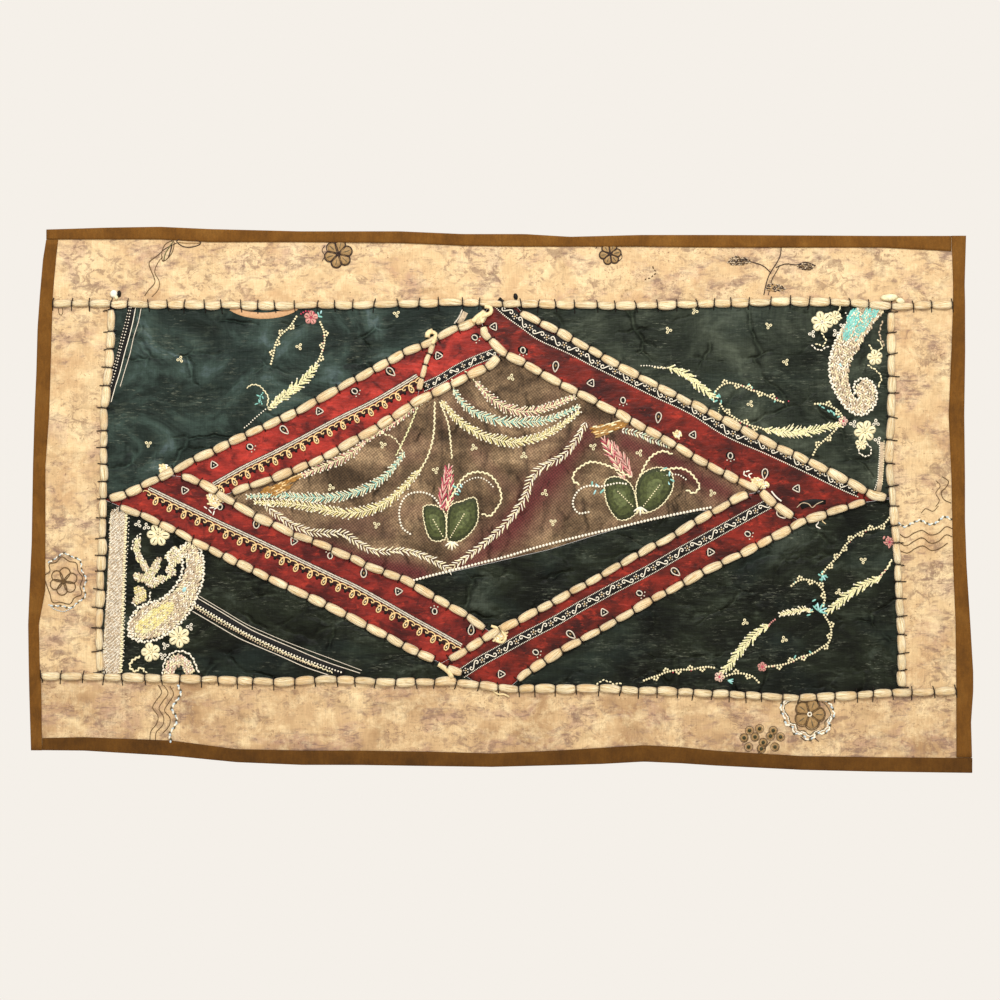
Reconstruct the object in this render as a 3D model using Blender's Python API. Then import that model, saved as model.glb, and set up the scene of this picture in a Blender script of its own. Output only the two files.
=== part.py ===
"""A patchwork wall hanging of old embroidered silks, bound in brown cotton, with padded yarn
braid couched over every seam. Metres, +Z up, the front towards -Y. The origin lies in the plane
of the back, over the middle of the top edge. The pieces are laid out face up, as on a work
table, and an empty turns them upright. The tables are in millimetres and give places as they
are read on the hanging: across to the right of the origin, and down from it."""

import math
import random

import bmesh
import bpy
from mathutils import Vector

MM = 0.001

# Thicknesses and layers, forward from the plane of the back, and the gap between two pieces
BINDING_CLOTH = 1.0
PATCH_CLOTH = 1.6
GAP = 0.3
WELD = 0.01
FLAT_ANGLE = math.radians(0.5)
SHARPEST_CORNER = 0.2
PATCH_BACK = BINDING_CLOTH + GAP
PATCH_FRONT = PATCH_BACK + PATCH_CLOTH
BINDING_FRONT = PATCH_FRONT + GAP + BINDING_CLOTH
BRAID_BACK = PATCH_FRONT + GAP

# The strips of binding. Each folds over the edge of the patchwork, and its end butts the next.
# Columns: along the strip, its outer edge, its inner edge
BINDINGS = {
    "top": [
        (-501, -5, 6), (-437, -7, 6), (-376, -8, 6), (-321, -5.5, 9), (-222, -3, 9), (-112, -3, 10),
        (-43, 0, 13), (25, 0, 14), (75, 3, 14), (152, 1, 14), (240, 1, 15), (416, 2, 15), (494, 2, 19),
    ],
    "right": [
        (2, 510.5, 494.3), (56, 509, 496), (77, 509.5, 496), (128, 509.5, 494), (199, 508.5, 491),
        (267, 509.3, 494), (315, 509.3, 495), (364, 511, 496), (429, 515, 498.5), (482, 518, 499),
        (502, 518, 499), (537, 515.5, 499), (575.3, 516.5, 499),
    ],
    "bottom": [
        (-504.7, 567.5, 554), (-459, 568, 553), (-411, 571, 555), (-363, 574, 557), (-292, 581, 566.5),
        (-220, 584, 568), (-154, 584, 568), (-82, 585, 569), (-11, 586, 571), (60, 584.3, 568),
        (108, 583, 565), (156, 580.3, 562), (196, 582, 564), (234, 584.5, 568), (330, 589.3, 574),
        (402, 591, 575), (516.5, 592.5, 576),
    ],
    "left": [
        (6.3, -501.5, -488), (28, -505, -490.5), (68, -508.5, -494), (103, -511, -495),
        (152, -512.3, -496.5), (199, -514.3, -498), (255, -516, -502), (339, -517.3, -502),
        (392, -519.7, -502), (429, -521, -509), (470, -520.3, -508), (503, -519.5, -506),
        (567.5, -517.5, -505),
    ],
}

# The seams between the patches. Columns: across, down
SEAMS = {
    "top": [
        (-508, 76), (-431, 77), (-352, 78), (-257, 79), (-162, 78), (-48, 75), (-13, 77), (14, 77),
        (59, 78), (143, 79), (221, 77), (317, 74), (388, 76), (427, 80), (508, 77),
    ],
    "bottom": [
        (-519, 485), (-441, 487), (-340, 489), (-244, 493), (-196, 490), (-107, 493), (-59, 492),
        (-26, 496), (7, 500), (108, 500), (210, 504), (330, 510), (439, 504), (517, 502),
    ],
    "left": [
        (-431, 77), (-429, 92), (-433, 152), (-438, 196), (-438, 292), (-439, 327), (-442, 405),
        (-443, 447), (-441, 487),
    ],
    "right": [
        (427, 80), (428, 128), (429, 175), (425, 243), (429, 291), (433, 333), (437, 400), (439, 458),
        (439, 504),
    ],
    "outer upper left": [
        (-438, 292), (-415, 287), (-370, 265), (-343, 251), (-283, 222), (-223, 194), (-163, 161),
        (-108, 131), (-82, 120), (-53, 105), (-23, 94), (-13, 77),
    ],
    "outer upper right": [
        (14, 77), (23, 88), (55, 104), (90, 123), (135, 149), (176, 170), (235, 200), (298, 232),
        (350, 256), (391, 278), (407, 287), (429, 291),
    ],
    "outer lower left": [
        (-438, 292), (-417, 301), (-384, 314), (-328, 343), (-266, 374), (-206, 402), (-150, 430),
        (-95, 459), (-67, 472),
    ],
    "outer lower right": [
        (7, 500), (25, 484), (64, 459), (108, 435), (151, 410), (189, 389), (227, 369), (273, 347),
        (329, 317), (353, 309), (392, 296), (429, 291),
    ],
    "inner upper left": [
        (-308, 288), (-276, 277), (-241, 265), (-198, 247), (-153, 222), (-117, 200), (-94, 184),
        (-46, 161), (-12, 144), (1, 130),
    ],
    "inner upper right": [
        (-23, 94), (-19, 110), (1, 130), (24, 142), (55, 160), (86, 176), (121, 194), (174, 223),
        (225, 253), (262, 272), (284, 283),
    ],
    "inner lower left": [
        (-370, 265), (-343, 268), (-315, 282), (-308, 288), (-274, 309), (-232, 329), (-193, 344),
        (-147, 365), (-103, 382), (-76, 399), (-38, 420), (-11, 439),
    ],
    "inner lower right": [
        (-67, 472), (-42, 459), (-11, 439), (17, 426), (57, 404), (103, 379), (143, 356), (180, 336),
        (215, 315), (233, 305), (264, 288), (284, 283),
    ],
    "joint": [(284, 283), (302, 299), (329, 317)],
    "corner": [(-67, 472), (-57, 478), (-42, 484), (-26, 496)],
    "cross": [(-82, 120), (-76, 124), (-81, 133), (-86, 149), (-94, 184)],
    "net edge": [(-103, 382), (-48, 370), (52, 347), (107, 330), (155, 316), (217, 304), (233, 305)],
}

# The patches, each with its cloth and the seams and edges that bound it in turn. A seam runs
# between two of its stations, and an edge takes its stations between two places along it.
# Columns: seam or edge, from, to
PATCHES = {
    "border_top": ("cream_silk", [
        ("top", (508, 77), (-508, 76)), ("left edge", 76, 0), ("top edge", -520, 520),
        ("right edge", 0, 77),
    ]),
    "border_bottom": ("cream_silk", [
        ("bottom", (-519, 485), (517, 502)), ("right edge", 502, 580), ("bottom edge", 520, -520),
        ("left edge", 580, 485),
    ]),
    "border_left": ("cream_silk", [
        ("top", (-508, 76), (-431, 77)), ("left", (-431, 77), (-441, 487)),
        ("bottom", (-441, 487), (-519, 485)), ("left edge", 485, 76),
    ]),
    "border_right": ("cream_silk", [
        ("top", (508, 77), (427, 80)), ("right", (427, 80), (439, 504)),
        ("bottom", (439, 504), (517, 502)), ("right edge", 502, 77),
    ]),
    "corner_top_left": ("dark_silk", [
        ("top", (-431, 77), (-13, 77)), ("outer upper left", (-13, 77), (-438, 292)),
        ("left", (-438, 292), (-431, 77)),
    ]),
    "corner_top_right": ("dark_silk", [
        ("top", (14, 77), (427, 80)), ("right", (427, 80), (429, 291)),
        ("outer upper right", (429, 291), (14, 77)),
    ]),
    "corner_bottom_left": ("dark_silk", [
        ("left", (-438, 292), (-441, 487)), ("bottom", (-441, 487), (-26, 496)),
        ("corner", (-26, 496), (-67, 472)), ("outer lower left", (-67, 472), (-438, 292)),
    ]),
    "corner_bottom_right": ("dark_silk", [
        ("outer lower right", (7, 500), (429, 291)), ("right", (429, 291), (439, 504)),
        ("bottom", (439, 504), (7, 500)),
    ]),
    "strip_upper_right": ("red_silk", [
        ("top", (-13, 77), (14, 77)), ("outer upper right", (14, 77), (429, 291)),
        ("outer lower right", (429, 291), (329, 317)), ("joint", (329, 317), (284, 283)),
        ("inner upper right", (284, 283), (-23, 94)), ("outer upper left", (-23, 94), (-13, 77)),
    ]),
    "strip_upper_left": ("red_silk", [
        ("outer upper left", (-370, 265), (-82, 120)), ("cross", (-82, 120), (-94, 184)),
        ("inner upper left", (-94, 184), (-308, 288)), ("inner lower left", (-308, 288), (-370, 265)),
    ]),
    "strip_upper_middle": ("red_silk", [
        ("outer upper left", (-82, 120), (-23, 94)), ("inner upper right", (-23, 94), (1, 130)),
        ("inner upper left", (1, 130), (-94, 184)), ("cross", (-94, 184), (-82, 120)),
    ]),
    "strip_lower_left": ("red_silk", [
        ("outer upper left", (-438, 292), (-370, 265)), ("inner lower left", (-370, 265), (-11, 439)),
        ("inner lower right", (-11, 439), (-67, 472)), ("outer lower left", (-67, 472), (-438, 292)),
    ]),
    "strip_lower_right": ("red_silk", [
        ("inner lower right", (-67, 472), (284, 283)), ("joint", (284, 283), (329, 317)),
        ("outer lower right", (329, 317), (7, 500)), ("bottom", (7, 500), (-26, 496)),
        ("corner", (-26, 496), (-67, 472)),
    ]),
    "net_panel": ("brown_net", [
        ("inner upper left", (-308, 288), (1, 130)), ("inner upper right", (1, 130), (284, 283)),
        ("inner lower right", (284, 283), (233, 305)), ("net edge", (233, 305), (-103, 382)),
        ("inner lower left", (-103, 382), (-308, 288)),
    ]),
    "centre_panel": ("dark_silk", [
        ("net edge", (-103, 382), (233, 305)), ("inner lower right", (233, 305), (-11, 439)),
        ("inner lower left", (-11, 439), (-103, 382)),
    ]),
}

# The braids over the seams. Where they meet, one runs through and the others stop beside it.
# Columns: seam, the lengths left off at its start and at its end
BRAIDS = [
    ("top", 14.5, 13),
    ("bottom", 13, 18.5),
    ("left", 6, 6),
    ("right", 6, 6),
    ("outer upper left", 6.5, 9),
    ("outer upper right", 11, 6.5),
    ("outer lower left", 20, 8.5),
    ("outer lower right", 14, 30),
    ("inner upper left", 12, 7),
    ("inner upper right", 8, 3),
    ("inner lower left", 18, 9.5),
    ("inner lower right", 10, 14),
    ("joint", 4, 11),
    ("corner", 8, 22),
    ("cross", 15, 25),
]
STITCH_PITCH = 21.5
STITCH_UNEVENNESS = 0.14
BRAID_SEED = 7
PINCH_SCALE = 0.55
SHOULDER = 2.6
SHOULDER_SCALE = 0.96

# Half of the section of a full braid, from its base to its crown. Columns: out, up
BRAID_SECTION = [(3.9, 0), (4.9, 2.4), (0, 4.9)]

# Soft swells, where the cloth stands forward of a flat wall. The top edge hangs flat.
# Columns: across, down, height, spread
SWELLS = [
    (-505, 560, 3.6, 95),
    (500, 580, 3.2, 110),
    (-330, 400, 1.6, 80),
    (-220, 190, 1.2, 75),
    (-20, 300, 2.2, 110),
    (150, 250, 1.5, 85),
    (250, 420, 1.8, 90),
    (400, 190, 1.4, 80),
    (-60, 560, 2.4, 90),
    (230, 570, 1.6, 80),
]
FLAT_BELOW_TOP = 22
SWELL_RAMP = 120
FOLD_SPACING = 48

# Columns: linear colour, roughness
CLOTHS = {
    "binding_cotton": ((0.22, 0.095, 0.015), 0.9),
    "cream_silk": ((0.78, 0.54, 0.32), 0.7),
    "dark_silk": ((0.014, 0.027, 0.028), 0.55),
    "red_silk": ((0.29, 0.022, 0.016), 0.5),
    "brown_net": ((0.15, 0.10, 0.065), 0.75),
    "yarn_braid": ((0.84, 0.69, 0.45), 0.8),
}


def clear_scene():
    for old in list(bpy.data.objects):
        bpy.data.objects.remove(old, do_unlink=True)


def new_collection(name):
    made = bpy.data.collections.new(name)
    bpy.context.scene.collection.children.link(made)
    return made


def cloth_material(slot):
    made = bpy.data.materials.get(slot)
    if made is None:
        colour, roughness = CLOTHS[slot]
        made = bpy.data.materials.new(slot)
        made.use_nodes = True
        shader = made.node_tree.nodes["Principled BSDF"]
        shader.inputs["Base Color"].default_value = (*colour, 1)
        shader.inputs["Roughness"].default_value = roughness
        shader.inputs["Metallic"].default_value = 0
    return made


def swell(across, down):
    """How far the cloth stands forward at a place."""
    ramp = min(max((down - FLAT_BELOW_TOP) / SWELL_RAMP, 0), 1)
    ramp = ramp * ramp * (3 - 2 * ramp)
    total = 0
    for middle, low, height, spread in SWELLS:
        away = (across - middle) ** 2 + (down - low) ** 2
        total += height * math.exp(-away / (2 * spread**2))
    return total * ramp


def inset(outline, distance):
    """A closed outline, run clockwise as it is seen, with each side moved inwards."""
    moved = []
    for index, station in enumerate(outline):
        here = Vector(station)
        before = (here - Vector(outline[index - 1])).normalized()
        after = (Vector(outline[(index + 1) % len(outline)]) - here).normalized()
        inward = Vector((-before.y - after.y, before.x + after.x)).normalized()
        share = inward.dot(Vector((-before.y, before.x)))
        moved.append(tuple(here + inward * (distance / max(share, SHARPEST_CORNER))))
    return moved


def clockwise(outline):
    """The same outline, turned round if it runs the other way as it is seen."""
    area = 0
    for (x0, y0), (x1, y1) in zip(outline, outline[1:] + outline[:1]):
        area += x0 * y1 - x1 * y0
    return outline if area > 0 else outline[::-1]


def hanging_outline():
    """The outer edge of the bound hanging, clockwise from its top left corner."""
    top = [(along, outer) for along, outer, _ in BINDINGS["top"]]
    right = [(outer, along) for along, outer, _ in BINDINGS["right"]]
    bottom = [(along, outer) for along, outer, _ in BINDINGS["bottom"]]
    left = [(outer, along) for along, outer, _ in BINDINGS["left"]]
    return top + right + bottom[::-1] + left[::-1]


def cloth_edge(side):
    """The stations of one edge of the patchwork, inside the fold of the binding."""
    whole = inset(hanging_outline(), PATCH_BACK)
    counts = [len(BINDINGS[name]) for name in ("top", "right", "bottom", "left")]
    place = ("top", "right", "bottom", "left").index(side)
    first = sum(counts[:place])
    return whole[first : first + counts[place]]


def boundary(line, first, last):
    """The stations of one side of a patch, in the order that it is walked."""
    if line in SEAMS:
        stations = SEAMS[line]
        start, end = stations.index(first), stations.index(last)
        return stations[start : end + 1] if start < end else stations[end : start + 1][::-1]
    side = line.removesuffix(" edge")
    axis = 0 if side in ("top", "bottom") else 1
    run = [point for point in cloth_edge(side) if min(first, last) < point[axis] < max(first, last)]
    run.sort(key=lambda point: point[axis], reverse=first > last)
    return run


def patch_outline(sides):
    outline = []
    for line, first, last in sides:
        for point in boundary(line, first, last):
            if not outline or math.dist(point, outline[-1]) > GAP:
                outline.append(point)
    if math.dist(outline[0], outline[-1]) < GAP:
        outline.pop()
    return clockwise(outline)


def flat_curve(name, points):
    """A closed flat curve through points given across and down."""
    curve = bpy.data.curves.new(name, "CURVE")
    curve.dimensions = "2D"
    spline = curve.splines.new("POLY")
    spline.points.add(len(points) - 1)
    for point, (across, down) in zip(spline.points, points):
        point.co = (across * MM, -down * MM, 0, 1)
    spline.use_cyclic_u = True
    return curve


def cloth_blank(name, outline, back, front, collection, hanger):
    """A flat piece cut to an outline, as a mesh with one face on each side."""
    curve = flat_curve(name, outline)
    curve.fill_mode = "BOTH"
    curve.extrude = (front - back) / 2 * MM
    blank = bpy.data.objects.new(name, curve)
    blank.location.z = (front + back) / 2 * MM
    blank.parent = hanger
    collection.objects.link(blank)
    piece = as_mesh(blank)
    shape = bmesh.new()
    shape.from_mesh(piece.data)
    bmesh.ops.dissolve_limit(shape, angle_limit=FLAT_ANGLE, verts=shape.verts, edges=shape.edges)
    shape.to_mesh(piece.data)
    shape.free()
    return piece


def as_mesh(drawn):
    """Makes a mesh object of a curve or of an object with modifiers, in its place and by its name."""
    bpy.context.view_layer.update()
    graph = bpy.context.evaluated_depsgraph_get()
    mesh = bpy.data.meshes.new_from_object(drawn.evaluated_get(graph))
    name, parent, location = drawn.name, drawn.parent, drawn.location.copy()
    collection = drawn.users_collection[0]
    bpy.data.objects.remove(drawn, do_unlink=True)
    mesh.name = name
    piece = bpy.data.objects.new(name, mesh)
    piece.location = location
    piece.parent = parent
    collection.objects.link(piece)
    shape = bmesh.new()
    shape.from_mesh(mesh)
    bmesh.ops.remove_doubles(shape, verts=shape.verts, dist=WELD * MM)
    bmesh.ops.recalc_face_normals(shape, faces=shape.faces)
    shape.to_mesh(mesh)
    shape.free()
    return piece


def fold_lines(piece):
    """Cuts fold lines into a flat piece, a spacing apart, so that it can take the swells."""
    shape = bmesh.new()
    shape.from_mesh(piece.data)
    for axis in (0, 1):
        direction = Vector((1, 0, 0)) if axis == 0 else Vector((0, 1, 0))
        places = [vert.co[axis] for vert in shape.verts]
        spacing = FOLD_SPACING * MM
        first, last = math.ceil(min(places) / spacing), math.floor(max(places) / spacing)
        for step in range(first, last + 1):
            everything = shape.verts[:] + shape.edges[:] + shape.faces[:]
            place = direction * step * spacing
            bmesh.ops.bisect_plane(
                shape, geom=everything, dist=WELD * MM, plane_co=place, plane_no=direction
            )
    bmesh.ops.triangulate(shape, faces=shape.faces)
    shape.to_mesh(piece.data)
    shape.free()


def let_hang(piece):
    """Moves each point of a piece forward by the swell at its place."""
    for vert in piece.data.vertices:
        vert.co.z += swell(vert.co.x / MM, -vert.co.y / MM) * MM


def binding(side, slot_outline, collection, cutters, hanger):
    """One strip of binding, a folded section open towards the patchwork."""
    rows = BINDINGS[side]
    if side in ("top", "bottom"):
        outer = [(along, out) for along, out, _ in rows]
        inner = [(along, within) for along, _, within in rows]
    else:
        outer = [(out, along) for along, out, _ in rows]
        inner = [(within, along) for along, _, within in rows]
    strip = cloth_blank(
        f"binding_{side}", clockwise(outer + inner[::-1]), 0, BINDING_FRONT, collection, hanger
    )
    slot = cloth_blank(
        f"fold_{side}", slot_outline, BINDING_CLOTH, BINDING_FRONT - BINDING_CLOTH, cutters, hanger
    )
    slot.hide_render = True
    slot.display_type = "WIRE"
    cut = strip.modifiers.new("fold", "BOOLEAN")
    cut.operation = "DIFFERENCE"
    cut.solver = "EXACT"
    cut.object = slot
    strip = as_mesh(strip)
    fold_lines(strip)
    let_hang(strip)
    strip.data.materials.append(cloth_material("binding_cotton"))
    return strip


def patch(name, slot, sides, collection, hanger):
    """One patch, cut to its seams and lying in its neighbours' plane."""
    outline = inset(patch_outline(sides), GAP / 2)
    piece = cloth_blank(name, outline, PATCH_BACK, PATCH_FRONT, collection, hanger)
    fold_lines(piece)
    let_hang(piece)
    piece.data.materials.append(cloth_material(slot))
    return piece


def point_along(route, distance):
    """The place at a distance along a route."""
    for start, end in zip(route, route[1:]):
        length = math.dist(start, end)
        if distance <= length or end == route[-1]:
            return Vector(start).lerp(Vector(end), distance / length)
        distance -= length


def braid_stations(length):
    """Where a braid's rings lie. Columns: along, scale of the section"""
    count = max(1, round(length / STITCH_PITCH))
    steps = [1 + random.uniform(-STITCH_UNEVENNESS, STITCH_UNEVENNESS) for _ in range(count)]
    stations = [(0, PINCH_SCALE)]
    place = 0
    for step in steps:
        puff = step * length / sum(steps)
        stations.append((place + SHOULDER, SHOULDER_SCALE))
        stations.append((place + puff - SHOULDER, SHOULDER_SCALE))
        place += puff
        stations.append((place, PINCH_SCALE))
    return stations


def braid(seam, off_start, off_end, section, collection, hanger):
    """A padded yarn braid, drawn in by a stitch between each of its puffs."""
    route = SEAMS[seam]
    length = sum(math.dist(a, b) for a, b in zip(route, route[1:])) - off_start - off_end
    stations = braid_stations(length)
    name = "braid_" + seam.replace(" ", "_")
    curve = bpy.data.curves.new(name, "CURVE")
    curve.dimensions = "2D"
    curve.fill_mode = "NONE"
    curve.bevel_mode = "OBJECT"
    curve.bevel_object = section
    curve.use_fill_caps = True
    spline = curve.splines.new("POLY")
    spline.points.add(len(stations) - 1)
    for point, (along, scale) in zip(spline.points, stations):
        place = point_along(route, off_start + along)
        point.co = (place.x * MM, -place.y * MM, 0, 1)
        point.radius = scale
    drawn = bpy.data.objects.new(name, curve)
    drawn.location.z = BRAID_BACK * MM
    drawn.parent = hanger
    collection.objects.link(drawn)
    piece = as_mesh(drawn)
    let_hang(piece)
    piece.data.materials.append(cloth_material("yarn_braid"))
    piece.data.shade_smooth()
    return piece


def braid_section(cutters):
    """The section that the braids are drawn with, its base on the cloth."""
    left_half = [(-out, up) for out, up in BRAID_SECTION[-2::-1]]
    curve = flat_curve("braid_section", [(out, -up) for out, up in BRAID_SECTION + left_half])
    section = bpy.data.objects.new("braid_section", curve)
    section.hide_render = True
    section.display_type = "WIRE"
    cutters.objects.link(section)
    return section


def main():
    clear_scene()
    random.seed(BRAID_SEED)
    hanging = new_collection("patchwork_hanging")
    cutters = new_collection("cutters")
    hanger = bpy.data.objects.new("hanger", None)
    hanger.rotation_euler.x = math.radians(90)
    hanging.objects.link(hanger)
    slot_outline = inset(hanging_outline(), BINDING_CLOTH)
    for side in BINDINGS:
        binding(side, slot_outline, hanging, cutters, hanger)
    for name, (slot, sides) in PATCHES.items():
        patch(name, slot, sides, hanging, hanger)
    section = braid_section(cutters)
    for seam, off_start, off_end in BRAIDS:
        braid(seam, off_start, off_end, section, hanging, hanger)


main()
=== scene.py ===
import math
import random

import bmesh
import bpy
import numpy as np
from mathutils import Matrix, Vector


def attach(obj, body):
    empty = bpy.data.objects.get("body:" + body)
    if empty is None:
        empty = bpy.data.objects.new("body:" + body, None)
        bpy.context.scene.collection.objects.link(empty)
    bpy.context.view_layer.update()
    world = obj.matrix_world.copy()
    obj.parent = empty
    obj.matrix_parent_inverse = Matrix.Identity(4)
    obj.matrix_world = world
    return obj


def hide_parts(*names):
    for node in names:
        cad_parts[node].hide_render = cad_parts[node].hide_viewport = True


bl_info = {
    "name": "Embroidered patchwork hanging",
    "version": (1, 0, 0),
    "blender": (4, 5, 0),
    "location": "View3D > Sidebar > Hanging",
    "description": "Dresses the solids of a patchwork hanging in silk, braid and needlework",
    "category": "Object",
}

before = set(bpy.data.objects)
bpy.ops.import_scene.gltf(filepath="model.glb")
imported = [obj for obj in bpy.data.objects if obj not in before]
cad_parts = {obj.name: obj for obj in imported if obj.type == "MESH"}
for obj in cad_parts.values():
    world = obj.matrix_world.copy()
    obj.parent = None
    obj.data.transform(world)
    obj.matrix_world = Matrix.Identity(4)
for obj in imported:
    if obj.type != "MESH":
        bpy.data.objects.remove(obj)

# Places are millimetres on the hanging: across to the right of the middle of the top edge, down
# from it, and forward from the plane of the back. A heading turns from across towards down.
MM = 0.001

# Layers, forward from the plane of the back, and the solids' fold lines
PATCH_BACK = 1.3
PATCH_FRONT = 2.9
BINDING_FRONT = 4.2
BINDING_CLOTH = 1.0
BRAID_BACK = 3.2
BETWEEN_LAYERS = 2.1
FLAT_ANGLE = math.radians(0.5)

# Soft swells, where the cloth stands forward. Columns: across, down, height, spread
SWELLS = [
    (-505, 560, 3.6, 95), (500, 580, 3.2, 110), (-330, 400, 1.6, 80), (-220, 190, 1.2, 75),
    (-20, 300, 2.2, 110), (150, 250, 1.5, 85), (250, 420, 1.8, 90), (400, 190, 1.4, 80),
    (-60, 560, 2.4, 90), (230, 570, 1.6, 80),
]
# The cloth is flat this far down, and swells fully after the ramp
FLAT_BELOW_TOP = 22
SWELL_RAMP = 120

# The strips of binding. Columns: along the strip, its outer edge, its inner edge
BINDINGS = {
    "top": [
        (-501, -5, 6), (-437, -7, 6), (-376, -8, 6), (-321, -5.5, 9), (-222, -3, 9), (-112, -3, 10),
        (-43, 0, 13), (25, 0, 14), (75, 3, 14), (152, 1, 14), (240, 1, 15), (416, 2, 15), (494, 2, 19),
    ],
    "right": [
        (2, 510.5, 494.3), (56, 509, 496), (77, 509.5, 496), (128, 509.5, 494), (199, 508.5, 491),
        (267, 509.3, 494), (315, 509.3, 495), (364, 511, 496), (429, 515, 498.5), (482, 518, 499),
        (502, 518, 499), (537, 515.5, 499), (575.3, 516.5, 499),
    ],
    "bottom": [
        (-504.7, 567.5, 554), (-459, 568, 553), (-411, 571, 555), (-363, 574, 557), (-292, 581, 566.5),
        (-220, 584, 568), (-154, 584, 568), (-82, 585, 569), (-11, 586, 571), (60, 584.3, 568),
        (108, 583, 565), (156, 580.3, 562), (196, 582, 564), (234, 584.5, 568), (330, 589.3, 574),
        (402, 591, 575), (516.5, 592.5, 576),
    ],
    "left": [
        (6.3, -501.5, -488), (28, -505, -490.5), (68, -508.5, -494), (103, -511, -495),
        (152, -512.3, -496.5), (199, -514.3, -498), (255, -516, -502), (339, -517.3, -502),
        (392, -519.7, -502), (429, -521, -509), (470, -520.3, -508), (503, -519.5, -506),
        (567.5, -517.5, -505),
    ],
}

# The seams between the patches. Columns: across, down
SEAMS = {
    "top": [
        (-508, 76), (-431, 77), (-352, 78), (-257, 79), (-162, 78), (-48, 75), (-13, 77), (14, 77),
        (59, 78), (143, 79), (221, 77), (317, 74), (388, 76), (427, 80), (508, 77),
    ],
    "bottom": [
        (-519, 485), (-441, 487), (-340, 489), (-244, 493), (-196, 490), (-107, 493), (-59, 492),
        (-26, 496), (7, 500), (108, 500), (210, 504), (330, 510), (439, 504), (517, 502),
    ],
    "left": [
        (-431, 77), (-429, 92), (-433, 152), (-438, 196), (-438, 292), (-439, 327), (-442, 405),
        (-443, 447), (-441, 487),
    ],
    "right": [
        (427, 80), (428, 128), (429, 175), (425, 243), (429, 291), (433, 333), (437, 400), (439, 458),
        (439, 504),
    ],
    "outer upper left": [
        (-438, 292), (-415, 287), (-370, 265), (-343, 251), (-283, 222), (-223, 194), (-163, 161),
        (-108, 131), (-82, 120), (-53, 105), (-23, 94), (-13, 77),
    ],
    "outer upper right": [
        (14, 77), (23, 88), (55, 104), (90, 123), (135, 149), (176, 170), (235, 200), (298, 232),
        (350, 256), (391, 278), (407, 287), (429, 291),
    ],
    "outer lower left": [
        (-438, 292), (-417, 301), (-384, 314), (-328, 343), (-266, 374), (-206, 402), (-150, 430),
        (-95, 459), (-67, 472),
    ],
    "outer lower right": [
        (7, 500), (25, 484), (64, 459), (108, 435), (151, 410), (189, 389), (227, 369), (273, 347),
        (329, 317), (353, 309), (392, 296), (429, 291),
    ],
    "inner upper left": [
        (-308, 288), (-276, 277), (-241, 265), (-198, 247), (-153, 222), (-117, 200), (-94, 184),
        (-46, 161), (-12, 144), (1, 130),
    ],
    "inner upper right": [
        (-23, 94), (-19, 110), (1, 130), (24, 142), (55, 160), (86, 176), (121, 194), (174, 223),
        (225, 253), (262, 272), (284, 283),
    ],
    "inner lower left": [
        (-370, 265), (-343, 268), (-315, 282), (-308, 288), (-274, 309), (-232, 329), (-193, 344),
        (-147, 365), (-103, 382), (-76, 399), (-38, 420), (-11, 439),
    ],
    "inner lower right": [
        (-67, 472), (-42, 459), (-11, 439), (17, 426), (57, 404), (103, 379), (143, 356), (180, 336),
        (215, 315), (233, 305), (264, 288), (284, 283),
    ],
    "joint": [(284, 283), (302, 299), (329, 317)],
    "corner": [(-67, 472), (-57, 478), (-42, 484), (-26, 496)],
    "cross": [(-75, 120), (-78, 128), (-83, 139), (-87, 153), (-91, 172)],
}

# The braids. Columns: seam, the lengths left off at its start and end, how far its stitches
# reach past it on the left and on the right of its run
BRAIDS = [
    ("top", 14.5, 13, 1.0, 3.0),
    ("bottom", 13, 18.5, 1.5, 3.0),
    ("left", 6, 6, 0.8, 2.6),
    ("right", 6, 6, 2.6, 0.8),
    ("outer upper left", 6.5, 9, 0.8, 1.2),
    ("outer upper right", 11, 6.5, 0.8, 1.2),
    ("outer lower left", 20, 8.5, 0.8, 1.2),
    ("outer lower right", 14, 30, 0.8, 1.0),
    ("inner upper left", 12, 7, 0.8, 1.0),
    ("inner upper right", 8, 3, 0.8, 1.0),
    ("inner lower left", 18, 9.5, 0.8, 1.0),
    ("inner lower right", 10, 14, 0.8, 1.0),
    ("joint", 0, 11, 0.8, 0.8),
    ("corner", 8, 22, 0.8, 0.8),
    ("cross", 0, 0, 0.8, 0.8),
]
# A slim braid: its share of the full girth and the length of its puffs
SLIM_BRAIDS = {"cross": (0.66, 15.0)}
# The full size of a braid, and how far apart its stitches are
BRAID_HALF_WIDTH = 4.9
BRAID_HEIGHT = 4.9
STITCH_PITCH = 21.5
# How unequal the lengths between the stitches of a braid are, as a share
STITCH_UNEVENNESS = 0.2
BRAID_SEED = 7
RINGS_IN_A_PUFF = 12

# The patches of each cloth, with the pieces' order from the top left
CREAM_PATCHES = ["border_top", "border_left", "border_right", "border_bottom"]
DARK_PATCHES = [
    "corner_top_left", "corner_top_right", "corner_bottom_left", "corner_bottom_right",
]
RED_PATCHES = [
    "strip_upper_left", "strip_upper_middle", "strip_upper_right", "strip_lower_left",
    "strip_lower_right",
]
CENTRE_PATCHES = ["net_panel", "centre_panel"]

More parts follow.
